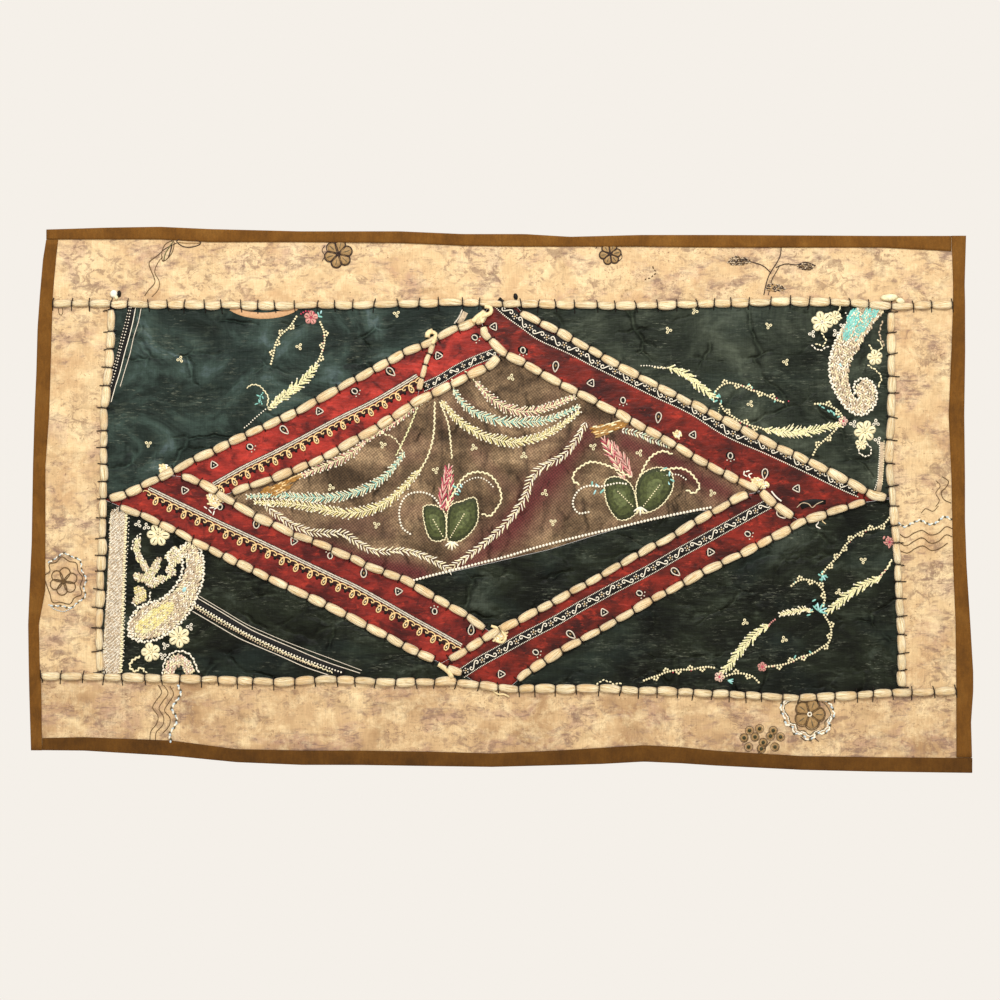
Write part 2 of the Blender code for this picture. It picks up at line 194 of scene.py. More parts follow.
# Creases and soft folds in the cloth. Columns: start, end, height, half width
CREASES = [
    ((245, 86), (271, 128), 0.9, 5), ((275, 95), (328, 130), 0.8, 5),
    ((256, 122), (341, 135), 0.6, 4), ((152, 128), (256, 152), 0.5, 6),
    ((-365, 106), (-299, 152), 0.5, 7), ((-233, 90), (-231, 183), 0.45, 4),
    ((-70, 86), (-68, 111), 0.4, 4), ((-387, 161), (-266, 169), 0.4, 8),
    ((-13, 205), (-16, 238), 0.7, 3), ((75, 199), (70, 260), -0.6, 3),
    ((130, 216), (139, 271), -0.6, 4), ((-68, 178), (-73, 315), 0.5, 4),
    ((20, 216), (218, 260), 0.6, 7), ((-167, 260), (64, 293), 0.5, 9),
    ((196, 260), (262, 293), 0.6, 7), ((-222, 293), (-90, 342), 0.5, 7),
    ((-332, 359), (-189, 403), 0.5, 8), ((-327, 447), (-222, 477), 0.4, 8),
    ((218, 359), (405, 392), 0.5, 8), ((394, 315), (416, 469), 0.4, 6),
    ((-409, 359), (-411, 469), 0.4, 5), ((64, 364), (108, 403), 0.5, 6),
    ((-486, 106), (-482, 271), 0.5, 7), ((-469, 260), (-473, 359), -0.5, 5),
    ((-453, 84), (-455, 205), 0.45, 4), ((-499, 359), (-453, 447), 0.5, 8),
    ((460, 106), (458, 260), 0.5, 7), ((480, 205), (477, 403), -0.5, 5),
    ((443, 359), (440, 469), 0.5, 5), ((465, 7), (463, 62), 0.5, 5),
    ((-442, 31), (-222, 37), 0.4, 8), ((-69, 7), (-68, 68), -0.5, 2.5),
    ((-24, 4), (-23, 68), 0.5, 3), ((53, 4), (51, 68), 0.6, 4),
    ((238, 7), (238, 68), -0.5, 2.5), ((108, 51), (284, 55), 0.4, 7),
    ((361, 13), (366, 62), 0.4, 5), ((-255, 502), (-253, 565), -0.5, 2.5),
    ((-447, 495), (-448, 559), -0.5, 2.5), ((-189, 513), (-24, 519), 0.5, 8),
    ((64, 513), (108, 562), 0.5, 6), ((207, 513), (394, 559), 0.5, 9),
    ((-156, 551), (-90, 513), 0.4, 6), ((42, 86), (218, 174), 0.4, 5),
    ((-332, 293), (-134, 392), 0.4, 4), ((20, 469), (240, 359), 0.4, 4),
]
# How far from a seam the creases fade, and the puckers that its stitches draw in
CREASE_FADE = 16
PUCKER_HEIGHT = 0.35
PUCKER_REACH = 13
PUCKER_PITCH = 10.7


def linear(code):
    """The linear colour of an sRGB hex value."""
    shares = [int(code[place : place + 2], 16) / 255 for place in (1, 3, 5)]
    return [s / 12.92 if s <= 0.04045 else ((s + 0.055) / 1.055) ** 2.4 for s in shares] + [1.0]


def ease(share):
    """A soft step from 0 to 1."""
    share = np.clip(share, 0, 1)
    return share * share * (3 - 2 * share)


def swell(across, down):
    """How far the cloth stands forward of the solids' flat layers."""
    total = 0
    for middle, low, height, spread in SWELLS:
        away = (across - middle) ** 2 + (down - low) ** 2
        total = total + height * np.exp(-away / (2 * spread**2))
    return total * ease((down - FLAT_BELOW_TOP) / SWELL_RAMP)


def from_segment(across, down, start, end):
    """How far places are from a straight line, and their share of the way along it."""
    (x0, y0), (x1, y1) = start, end
    run, drop = x1 - x0, y1 - y0
    share = ((across - x0) * run + (down - y0) * drop) / (run * run + drop * drop)
    near = np.clip(share, 0, 1)
    return np.hypot(across - x0 - near * run, down - y0 - near * drop), share


def held_lines():
    """The lines where the cloth is held: the braided seams and the edges of the binding."""
    lines = [SEAMS[row[0]] for row in BRAIDS]
    for side, rows in BINDINGS.items():
        for column in (1, 2):
            if side in ("top", "bottom"):
                lines.append([(row[0], row[column]) for row in rows])
            else:
                lines.append([(row[column], row[0]) for row in rows])
    return lines


HELD = [pair for line in held_lines() for pair in zip(line, line[1:])]


def drape(across, down):
    """The creases between the seams and the puckers that the stitches draw in, forward."""
    across, down = np.asarray(across, float), np.asarray(down, float)
    held = np.full(across.shape, 1e9)
    along = np.zeros(across.shape)
    walked = 0
    for start, end in HELD:
        away, share = from_segment(across, down, start, end)
        length = math.dist(start, end)
        nearer = away < held
        held = np.where(nearer, away, held)
        along = np.where(nearer, walked + share * length, along)
        walked += length
    total = np.zeros(across.shape)
    for start, end, height, width in CREASES:
        away, _ = from_segment(across, down, start, end)
        total += height * np.exp(-((away / width) ** 2))
    total *= ease((held - BRAID_HALF_WIDTH) / CREASE_FADE)
    near = ease((held - BRAID_HALF_WIDTH + 2) / 4) * np.exp(-held / PUCKER_REACH)
    return total + PUCKER_HEIGHT * near * np.sin(along * 2 * math.pi / PUCKER_PITCH)


def in_place(across, down, forward):
    """Points in the scene from places on the hanging and how far they stand forward."""
    return np.stack([across * MM, -forward * MM, -down * MM], axis=-1)


def on_cloth(across, down):
    """How far forward the face of the patchwork is."""
    return PATCH_FRONT + swell(across, down) + drape(across, down)


# How many stations a curve has from one place of its path to the next
CURVE_STATIONS = 12


def steps_along(path, pitch, closed=False):
    """Even steps along a smooth line through a path: the places and the headings there."""
    knots = np.array([row[:2] for row in path], float)
    if closed:
        knots = np.vstack([knots[-1], knots, knots[:2]])
    else:
        knots = np.vstack([2 * knots[0] - knots[1], knots, 2 * knots[-1] - knots[-2]])
    share = np.linspace(0, 1, CURVE_STATIONS, endpoint=False)[:, None]
    runs = []
    for before, start, end, after in zip(knots, knots[1:], knots[2:], knots[3:]):
        curved = 2 * start + (end - before) * share
        curved = curved + (2 * before - 5 * start + 4 * end - after) * share**2
        curved = curved + (3 * start - before - 3 * end + after) * share**3
        runs.append(curved / 2)
    line = np.vstack([*runs, knots[-2]])
    lengths = np.hypot(*np.diff(line, axis=0).T)
    walked = np.concatenate([[0], np.cumsum(lengths)])
    count = max(2, round(walked[-1] / pitch) + 1)
    stops = np.linspace(0, walked[-1], count)
    places = np.stack([np.interp(stops, walked, line[:, axis]) for axis in (0, 1)], axis=1)
    if closed:
        places = places[:-1]
        ahead = np.roll(places, -1, axis=0) - np.roll(places, 1, axis=0)
    else:
        ahead = np.gradient(places, axis=0)
    return places, np.arctan2(ahead[:, 1], ahead[:, 0])


def mesh_piece(name, points, faces):
    """A new mesh object at the origin from points in the scene."""
    mesh = bpy.data.meshes.new(name)
    mesh.from_pydata(points, [], faces)
    mesh.validate()
    mesh.shade_smooth()
    piece = bpy.data.objects.new(name, mesh)
    bpy.context.scene.collection.objects.link(piece)
    return piece


def finish_piece(piece, material=None, slot=None, replaced=()):
    """Gives a piece its finish and its place on the hanging."""
    if material is not None:
        piece.data.materials.clear()
        piece.data.materials.append(material)
    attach(piece, "root")
    if replaced:
        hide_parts(*replaced)
    return piece


def smallest_rectangle(corners):
    """The sides of the smallest rectangle that a cut fits in."""
    shape = np.array(corners)
    best = None
    for heading in np.radians(np.arange(0, 90, 0.5)):
        sides = (
            np.ptp(shape @ [math.cos(heading), math.sin(heading)]),
            np.ptp(shape @ [-math.sin(heading), math.cos(heading)]),
        )
        if best is None or sides[0] * sides[1] < best[0] * best[1]:
            best = sides
    return best


def add(tree, kind, settings=(), sockets=(), ramp=()):
    """Adds a node, with its settings, its linked or set sockets and the stops of a ramp."""
    made = tree.nodes.new(kind)
    for name, value in dict(settings).items():
        setattr(made, name, value)
    for name, value in dict(sockets).items():
        if isinstance(value, bpy.types.NodeSocket):
            tree.links.new(value, made.inputs[name])
        else:
            made.inputs[name].default_value = value
    if ramp:
        stops = made.color_ramp.elements
        while len(stops) < len(ramp):
            stops.new(1)
        for stop, (position, colour) in zip(stops, ramp):
            stop.position, stop.color = position, colour
    return made


def new_finish(name, roughness, sheen=0.0, gloss=0.2):
    """An empty material with its shader: the material, its tree, the shader, places in mm."""
    made = bpy.data.materials.new(name)
    made.use_nodes = True
    tree = made.node_tree
    shader = tree.nodes["Principled BSDF"]
    shader.inputs["Roughness"].default_value = roughness
    shader.inputs["Sheen Weight"].default_value = sheen
    shader.inputs["Specular IOR Level"].default_value = gloss
    place = add(tree, "ShaderNodeTexCoord").outputs["Object"]
    return made, tree, shader, place


def cloudy(tree, place, sizes, stops, detail=4.0, rough=0.6, warp=0.4):
    """Cloudy patches of a real size in mm, across, forward and down, as colours or shares.
    Columns of the stops: position, hex value, linear colour or share"""
    spread = add(tree, "ShaderNodeMapping", {"vector_type": "POINT"}, {
        "Vector": place, "Scale": [1 / (MM * size) for size in sizes],
    }).outputs[0]
    clouds = add(tree, "ShaderNodeTexNoise", (), {
        "Vector": spread, "Scale": 1.0, "Detail": detail, "Roughness": rough, "Distortion": warp,
    }).outputs["Fac"]
    rows = []
    for at, tone in stops:
        if isinstance(tone, str):
            tone = linear(tone)
        elif isinstance(tone, (int, float)):
            tone = [tone, tone, tone, 1]
        rows.append((at, tone))
    return add(tree, "ShaderNodeValToRGB", (), {"Fac": clouds}, rows).outputs["Color"]


def stained(tree, base, colour, place, sizes, starts, full, most, within=None, **clouds):
    """Stains of a colour over a base, kept within larger patches where those are given."""
    share = cloudy(tree, place, sizes, ((starts, 0), (full, most)), **clouds)
    if within:
        patches = cloudy(tree, place, within[0], ((within[1], 0), (within[2], 1)))
        share = add(tree, "ShaderNodeMix", {"data_type": "RGBA", "blend_type": "MULTIPLY"}, {
            0: 1.0, 6: share, 7: patches,
        }).outputs[2]
    return add(tree, "ShaderNodeMix", {"data_type": "RGBA"}, {
        0: share, 6: base, 7: linear(colour),
    }).outputs[2]


def shaded(tree, base, place, sizes, dark, light, **clouds):
    """A base made darker and lighter in patches of a real size."""
    shade = cloudy(tree, place, sizes, ((0.3, dark), (0.7, light)), **clouds)
    return add(tree, "ShaderNodeMix", {"data_type": "RGBA", "blend_type": "MULTIPLY"}, {
        0: 1.0, 6: base, 7: shade,
    }).outputs[2]


def tinted(tree, base, mark_name, colour):
    """A base coloured as far as a mark of the mesh says."""
    share = add(tree, "ShaderNodeAttribute", {"attribute_name": mark_name}).outputs["Fac"]
    return add(tree, "ShaderNodeMix", {"data_type": "RGBA"}, {
        0: share, 6: base, 7: linear(colour),
    }).outputs[2]


def creased(tree, shader, place, sizes, depth, **clouds):
    """Fine creases of a real size and depth in mm."""
    height = cloudy(tree, place, sizes, ((0, 0), (1, 1)), **clouds)
    bump = add(tree, "ShaderNodeBump", (), {"Height": height, "Distance": depth * MM})
    tree.links.new(bump.outputs[0], shader.inputs["Normal"])


# How far the folds of crumpled cloth wander from straight, and over what length, in mm
FOLD_DRIFT = 34
FOLD_DRIFT_SIZE = 45
# The net's holes and the binding's weave, in mm, drawn larger than they are. A wave texture of
# scale one has 20 bands in 2 pi metres
NET_HOLE = 2.6
WEAVE = 0.9


def folds_with_painted_shading(tree, shader, place, sizes, depth, worn, shade):
    """Sharp folds of crumpled cloth in straight runs, of a size and depth in mm. A fold line is
    multiplied by a share, a painted highlight above one and painted shade below, and the cloth beside it is
    painted in shade by one."""
    drift = add(tree, "ShaderNodeTexNoise", (), {
        "Vector": place, "Scale": 1 / (FOLD_DRIFT_SIZE * MM), "Detail": 3.0,
    }).outputs["Color"]
    drifted = add(tree, "ShaderNodeVectorMath", {"operation": "MULTIPLY_ADD"}, {
        0: drift, 1: [FOLD_DRIFT * MM] * 3, 2: place,
    }).outputs[0]
    spread = add(tree, "ShaderNodeMapping", {"vector_type": "POINT"}, {
        "Vector": drifted, "Scale": [1 / (MM * size) for size in sizes],
    }).outputs[0]
    away = add(tree, "ShaderNodeTexVoronoi", {"feature": "DISTANCE_TO_EDGE"}, {
        "Vector": spread, "Scale": 1.0,
    }).outputs["Distance"]
    height = add(tree, "ShaderNodeValToRGB", (), {"Fac": away}, [
        (0.0, (0, 0, 0, 1)), (0.07, (0.75, 0.75, 0.75, 1)), (0.3, (1, 1, 1, 1)),
    ]).outputs["Color"]
    strength = cloudy(tree, place, (42, 42, 42), ((0.46, 0), (0.6, 1)))
    bump = add(tree, "ShaderNodeBump", (), {
        "Height": height, "Distance": depth * MM, "Strength": strength,
        "Normal": shader.inputs["Normal"].links[0].from_socket,
    })
    tree.links.new(bump.outputs[0], shader.inputs["Normal"])
    # Painted light and shade: the fold line takes its share, above one a painted highlight, below one
    # painted shade, and the cloth beside it painted shade
    tone = add(tree, "ShaderNodeValToRGB", (), {"Fac": away}, [
        (0.0, (worn, worn, worn, 1)), (0.035, (shade, shade, shade, 1)), (0.12, (1, 1, 1, 1)),
    ]).outputs["Color"]
    base = add(tree, "ShaderNodeMix", {"data_type": "RGBA", "blend_type": "MULTIPLY"}, {
        0: strength, 6: shader.inputs["Base Color"].links[0].from_socket, 7: tone,
    }).outputs[2]
    tree.links.new(base, shader.inputs["Base Color"])


def cream_silk(name, faded, middle, worn):
    """Old printed silk, faded to warm cream: soft lustre, brown-grey crackled blotches left
    from its print, mauve stains, fine specks and the slight crease of washed cloth."""
    made, tree, shader, place = new_finish(name, 0.62)
    base = cloudy(tree, place, (60, 60, 60), ((0.32, middle), (0.5, faded), (0.68, worn)), 5.0)
    base = stained(
        tree, base, "#a98579", place, (50, 50, 36), 0.5, 0.64, 0.5, detail=9.0, rough=0.7, warp=0.5,
    )
    base = stained(
        tree, base, "#8c6f58", place, (17, 17, 12), 0.5, 0.56, 0.7, ((58, 58, 58), 0.45, 0.55),
        detail=10.0, rough=0.72, warp=1.4,
    )
    base = stained(
        tree, base, "#83695a", place, (20, 20, 6), 0.51, 0.58, 0.74, ((50, 50, 36), 0.46, 0.56),
        detail=8.0, rough=0.75, warp=0.8,
    )
    base = stained(
        tree, base, "#f6dfb0", place, (24, 24, 20), 0.48, 0.66, 0.6, detail=10.0, rough=0.74, warp=0.3,
    )
    base = stained(
        tree, base, "#71503a", place, (5.5, 5.5, 3.6), 0.57, 0.63, 0.6, ((40, 40, 30), 0.47, 0.58),
        detail=4.0, rough=0.7, warp=1.6,
    )
    base = shaded(tree, base, place, (1.4, 1.4, 15), 0.88, 1.08)
    base = shaded(tree, base, place, (13, 13, 1.2), 0.93, 1.05)
    base = stained(
        tree, base, "#6b3f2b", place, (2.3, 2.3, 2.6), 0.62, 0.7, 0.8, ((30, 30, 30), 0.46, 0.6),
    )
    tree.links.new(base, shader.inputs["Base Color"])
    creased(tree, shader, place, (7, 7, 26), 1.1)
    # Folds with painted shade on each fold line and beside it
    folds_with_painted_shading(tree, shader, place, (85, 85, 60), 1.2, 0.9, 0.95)
    return made


def dark_silk(name, deepest, deep, middle, worn):
    """Blue-green black silk, worn along its threads: a cool grey bloom in streaks over a
    nearly black ground, pale worn flecks, and a low gloss."""
    made, tree, shader, place = new_finish(name, 0.5, gloss=0.1)
    base = cloudy(tree, place, (70, 70, 48), (
        (0.34, deepest), (0.46, deep), (0.57, middle), (0.7, worn),
    ), 7.0, rough=0.65, warp=0.8)
    base = stained(tree, base, "#24302c", place, (150, 150, 90), 0.5, 0.68, 0.5)
    base = stained(
        tree, base, "#66705f", place, (24, 24, 5), 0.48, 0.74, 0.36, ((42, 42, 34), 0.46, 0.62),
        detail=6.0, rough=0.7, warp=0.8,
    )
    base = stained(
        tree, base, "#050705", place, (30, 30, 5), 0.5, 0.7, 0.6, ((50, 50, 50), 0.45, 0.62),
    )
    base = shaded(tree, base, place, (1.6, 1.6, 24), 0.8, 1.15)
    base = stained(
        tree, base, "#8b8f7c", place, (9, 9, 1.5), 0.57, 0.7, 0.5, ((48, 48, 34), 0.47, 0.6),
        rough=0.75,
    )
    tree.links.new(base, shader.inputs["Base Color"])
    creased(tree, shader, place, (18, 18, 4), 1.1)
    # Folds with a painted highlight on each fold line and painted shade beside it
    folds_with_painted_shading(tree, shader, place, (62, 62, 40), 3.8, 1.5, 0.5)
    return made


def red_silk(name, bright, middle, deep):
    """Red silk with uneven dye, mottled bright and maroon: the maroon patches are painted shade for its
    folds, and the bright ones partly wear and partly painted sheen. It has a fine slubbed thread and a soft
    lustre."""
    made, tree, shader, place = new_finish(name, 0.48)
    # Clouds from maroon to bright red: the maroon is painted shade for the folds, the bright partly wear
    # and partly painted sheen
    base = cloudy(tree, place, (42, 42, 28), ((0.36, deep), (0.5, middle), (0.62, bright)), 6.0)
    base = stained(tree, base, "#2c0807", place, (20, 20, 15), 0.5, 0.66, 0.7, warp=1.2)
    base = stained(tree, base, "#d0402c", place, (14, 14, 7), 0.56, 0.72, 0.5, rough=0.7)
    base = shaded(tree, base, place, (14, 14, 1.3), 0.78, 1.16)
    base = shaded(tree, base, place, (2.2, 2.2, 2.2), 0.85, 1.12)
    tree.links.new(base, shader.inputs["Base Color"])
    creased(tree, shader, place, (16, 16, 5), 0.9)
    return made


def brown_net():
    """Fine cotton net over dark cloth, dyed maroon where its dye mark says, with painted shade along small
    folds where its fold mark says. Its holes are under a millimetre, and they are drawn at 2.6 mm, so that
    they show."""
    made, tree, shader, place = new_finish("brown cotton net", 0.75)
    base = cloudy(tree, place, (70, 70, 46), (
        (0.34, "#453524"), (0.5, "#6b563f"), (0.64, "#957c5e"),
    ), 6.0, warp=0.8)
    base = shaded(tree, base, place, (9, 9, 17), 0.62, 1.3, detail=3.0, warp=1.2)
    base = shaded(tree, base, place, (2.6, 2.6, 2.2), 0.76, 1.24)
    base = stained(tree, base, "#7c5a4a", place, (80, 80, 60), 0.48, 0.66, 0.5)
    base = tinted(tree, base, "dye", "#5b2426")
    # Painted shade along the net's small folds, as far as the fold mark says
    base = tinted(tree, base, "fold", "#20180f")
    # Thin dark streaks down the net: painted shade of its crinkles
    base = stained(
        tree, base, "#2b2016", place, (5, 5, 22), 0.54, 0.7, 0.65, ((60, 60, 60), 0.45, 0.6),
        warp=1.8,
    )
    turned = add(tree, "ShaderNodeMapping", {"vector_type": "POINT"}, {
        "Vector": place, "Rotation": (0, math.radians(38), 0),
    }).outputs[0]
    for across in ("X", "Z"):
        threads = add(tree, "ShaderNodeTexWave", {"bands_direction": across}, {
            "Vector": turned, "Scale": 2 * math.pi / (20 * NET_HOLE * MM), "Distortion": 3.2,
            "Detail": 2.0, "Detail Scale": 1.5,
        }).outputs["Fac"]
        shade = add(tree, "ShaderNodeValToRGB", (), {"Fac": threads}, [
            (0.2, (0.62, 0.62, 0.62, 1)), (0.8, (1.28, 1.28, 1.28, 1)),
        ]).outputs["Color"]
        base = add(tree, "ShaderNodeMix", {"data_type": "RGBA", "blend_type": "MULTIPLY"}, {
            0: 0.55, 6: base, 7: shade,
        }).outputs[2]
    tree.links.new(base, shader.inputs["Base Color"])
    creased(tree, shader, place, (22, 22, 5), 1.4, warp=1.0)
    # Folds with painted shade on each fold line and beside it
    folds_with_painted_shading(tree, shader, place, (28, 28, 72), 2.6, 0.45, 0.75)
    return made


def brown_cotton(name, dark, middle, worn):
    """Plain-woven brown cotton, a hand-torn strip folded over the edge: matt, a little paler
    on its worn folds. The weave is drawn at 0.9 mm, so that it shows."""
    made, tree, shader, place = new_finish(name, 0.85)
    base = cloudy(tree, place, (34, 34, 34), ((0.32, dark), (0.5, middle), (0.72, worn)), 5.0)
    base = shaded(tree, base, place, (2.0, 2.0, 9.0), 0.85, 1.14)
    base = shaded(tree, base, place, (1.1, 1.1, 1.1), 0.82, 1.16)
    tree.links.new(base, shader.inputs["Base Color"])
    threads = [
        add(tree, "ShaderNodeTexWave", {"bands_direction": across}, {
            "Vector": place, "Scale": 2 * math.pi / (20 * WEAVE * MM), "Distortion": 0.6,
        }).outputs["Fac"]
        for across in ("X", "Z")
    ]
    weave = add(tree, "ShaderNodeMath", {"operation": "MULTIPLY"}, {
        0: threads[0], 1: threads[1],
    }).outputs[0]
    bump = add(tree, "ShaderNodeBump", (), {"Height": weave, "Distance": 0.25 * MM})
    tree.links.new(bump.outputs[0], shader.inputs["Normal"])
    return made


def cream_yarn(palest):
    """Loosely plied cream cotton yarn, a dozen strands side by side in each puff. The map
    gives metres round the braid and along it, so the strands run with the braid."""
    made, tree, shader, place = new_finish("cream cotton yarn", 0.75, 0.25)
    over = add(tree, "ShaderNodeUVMap", {"uv_map": "strands"}).outputs["UV"]
    base = cloudy(tree, over, (1.1, 22, 1), (
        (0.3, "#94703f"), (0.42, "#dcc089"), (0.56, palest),
    ), 4.0, rough=0.7, warp=0.0)
    base = stained(tree, base, "#dcae72", place, (24, 24, 24), 0.48, 0.66, 0.5)
    base = shaded(tree, base, place, (20, 20, 20), 0.84, 1.08)
    # Brown painted shade where the yarn turns under, as far as the edge mark says
    base = tinted(tree, base, "edge", "#6b4522")
    tree.links.new(base, shader.inputs["Base Color"])
    creased(tree, shader, over, (1.1, 22, 1), 1.8, warp=0.0)
    return made


# Over what length a thread's tone changes from stitch to stitch, in mm
STITCH_TONES = (3.0, 3.0, 3.0)


def thread_finish(name, colour, roughness, sheen, vary=0.18):
    """Embroidery thread of one colour, lighter and darker from stitch to stitch."""
    made, tree, shader, place = new_finish(name, roughness, sheen)
    base = cloudy(tree, place, (60, 60, 60), ((0.3, colour), (0.7, colour)))
    base = shaded(tree, base, place, STITCH_TONES, 1 - vary, 1 + vary, detail=2.0)
    tree.links.new(base, shader.inputs["Base Color"])
    return made


def cloth_panel(node, name, step):
    """A patch cut from its solid's outline, in a grid fine enough to take the folds."""
    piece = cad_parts[node].copy()
    piece.data = piece.data.copy()
    piece.name = piece.data.name = name
    piece.parent = None
    for key in [key for key in piece.keys() if key.startswith("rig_")]:
        del piece[key]
    bpy.context.scene.collection.objects.link(piece)
    shape = bmesh.new()
    shape.from_mesh(piece.data)
    bmesh.ops.remove_doubles(shape, verts=shape.verts, dist=0.01 * MM)
    for vert in shape.verts:
        layer = -vert.co.y / MM - swell(vert.co.x / MM, -vert.co.z / MM)
        vert.co.y = -(PATCH_FRONT if layer > BETWEEN_LAYERS else PATCH_BACK) * MM
    bmesh.ops.dissolve_limit(shape, angle_limit=FLAT_ANGLE, verts=shape.verts, edges=shape.edges)
    shape.normal_update()
    area = sum(face.calc_area() for face in shape.faces if face.normal.y < -0.5)
    sides = smallest_rectangle([(vert.co.x, vert.co.z) for vert in shape.verts])
    for axis in (0, 2):
        normal = Vector([float(axis == place) for place in range(3)])
        places = [vert.co[axis] for vert in shape.verts]
        for count in range(math.ceil(min(places) / step), math.floor(max(places) / step) + 1):
            bmesh.ops.bisect_plane(
                shape, geom=shape.verts[:] + shape.edges[:] + shape.faces[:], dist=0.01 * MM,
                plane_co=normal * count * step, plane_no=normal,
            )
    bmesh.ops.triangulate(shape, faces=[face for face in shape.faces if len(face.verts) > 4])
    shape.to_mesh(piece.data)
    shape.free()
    points = np.zeros(len(piece.data.vertices) * 3)
    piece.data.vertices.foreach_get("co", points)
    points = points.reshape(-1, 3)
    across, down = points[:, 0] / MM, -points[:, 2] / MM
    points[:, 1] -= (swell(across, down) + drape(across, down)) * MM
    piece.data.vertices.foreach_set("co", points.ravel())
    piece.data.shade_smooth()
    return piece, sides, area


# Where the net is dyed maroon. Columns: start, end, half width, strength
DYED = [
    ((95, 217), (64, 255), 12, 0.8), ((64, 255), (37, 286), 16, 0.9),
    ((37, 286), (9, 328), 18, 0.9), ((9, 328), (-37, 364), 18, 0.8),
    ((-248, 317), (-207, 342), 9, 0.9), ((-207, 342), (-154, 359), 10, 0.9),
    ((-154, 359), (-90, 374), 12, 0.9), ((135, 229), (245, 284), 13, 0.8),
    ((103, 227), (152, 260), 12, 0.45),
]


# Where painted shade darkens small folds of the net. Columns: start, end, half width, strength
FOLD_SHADE_LINES = [
    ((-70, 174), (-65, 227), 2.4, 0.5), ((-65, 227), (-68, 271), 2.2, 0.4),
    ((-22, 196), (-13, 227), 2.4, 0.7), ((-13, 227), (-20, 260), 2.2, 0.5),
    ((-6, 210), (3, 238), 2.2, 0.5), ((24, 232), (29, 271), 2.2, 0.5),
    ((76, 199), (72, 227), 2.6, 0.7), ((72, 227), (59, 251), 2.2, 0.5),
    ((121, 220), (132, 251), 2.2, 0.5), ((80, 271), (78, 306), 2.4, 0.6),
    ((152, 271), (165, 266), 2.2, 0.3), ((-112, 205), (-117, 260), 2.4, 0.4),
    ((-46, 161), (-31, 180), 2.2, 0.4), ((51, 290), (43, 326), 2.2, 0.4),
    ((-167, 260), (-154, 298), 2.2, 0.4), ((-90, 315), (-112, 345), 2.4, 0.4),
    ((-2, 169), (31, 178), 2.2, 0.35), ((191, 260), (222, 284), 2.4, 0.5),
    ((103, 227), (95, 260), 2.2, 0.4), ((9, 260), (-2, 315), 2.4, 0.35),
]


def mark(piece, name, rows):
    """Marks how far each place of the net is dyed, or darkened by painted shade along a small fold."""
    points = np.zeros(len(piece.data.vertices) * 3)
    piece.data.vertices.foreach_get("co", points)
    points = points.reshape(-1, 3)
    total = np.zeros(len(points))
    for start, end, width, strength in rows:
        away, _ = from_segment(points[:, 0] / MM, -points[:, 2] / MM, start, end)
        total = np.maximum(total, strength * np.exp(-((away / width) ** 2)))
    marks = piece.data.attributes.new(name, "FLOAT", "POINT")
    marks.data.foreach_set("value", total)


def hang_patches(context, nodes, finish_of, slot_of):
    """Makes the patches of one cloth."""
    step = context.scene.hanging_cloth.grid
    for node in nodes:
        fineness = 2 if node == "net_panel" else 1
        piece, sides, area = cloth_panel(node, node + "_cloth", step / fineness)
        if node == "net_panel":
            mark(piece, "dye", DYED)
            # The fold mark holds painted shade for the net's small folds
            mark(piece, "fold", FOLD_SHADE_LINES)
        finish_piece(piece, finish_of(node), slot_of(node), [node])


# Half of the binding's section: a fold of cloth, its two legs reaching over the patchwork's
# edge. The corners of the fold are round, and each leg's end is turned under.
FOLD_RADIUS = 1.6
CORNER_STEPS = 4
LEG_STEPS = 5
BINDING_STEP = 5.5
# Joins and small pleats in the strips. Columns: side, along, depth, half width
BINDING_JOINS = [
    ("top", 231, -0.5, 1.3), ("bottom", -11, 0.7, 2.2), ("top", -437, 0.3, 3.0),
    ("right", 128, 0.35, 5.0), ("right", 429, 0.45, 4.0), ("left", 392, 0.4, 4.0),
    ("bottom", 330, 0.35, 5.0), ("bottom", -292, 0.4, 4.0), ("top", -43, 0.35, 4.0),
]
# How far the hem's stitches draw its edge in and out, and how close they are
HEM_STITCHES = 0.12
HEM_PITCH = 3.1
# Slow waves along the strips. Columns: height, length, start
BINDING_WAVES = [(0.16, 23.0, 0.4), (0.11, 11.3, 1.9), (0.2, 61.0, 2.6)]


def folded_section(width):
    """The outside and inside of the fold, point against point. Columns: inwards, forward"""
    outside, inside = [], []
    for share in np.linspace(1, 0, LEG_STEPS, endpoint=False):
        inwards = FOLD_RADIUS + (width - FOLD_RADIUS) * share
        lift = 0.25 if share == 1 else 0.0
        outside.append((inwards, lift))
        inside.append((inwards, BINDING_CLOTH - lift))
    corners = [(FOLD_RADIUS, FOLD_RADIUS, 270, 180),
               (FOLD_RADIUS, BINDING_FRONT - FOLD_RADIUS, 180, 90)]
    for middle, layer, first, last in corners:
        for angle in np.radians(np.linspace(first, last, CORNER_STEPS)):
            for line, radius in ((outside, FOLD_RADIUS), (inside, FOLD_RADIUS - BINDING_CLOTH)):
                line.append((middle + radius * math.cos(angle), layer + radius * math.sin(angle)))
    legs = [(inwards, BINDING_FRONT - forward) for inwards, forward in outside[:LEG_STEPS][::-1]]
    inner = [(inwards, BINDING_FRONT - forward) for inwards, forward in inside[:LEG_STEPS][::-1]]
    return outside + legs, inside + inner


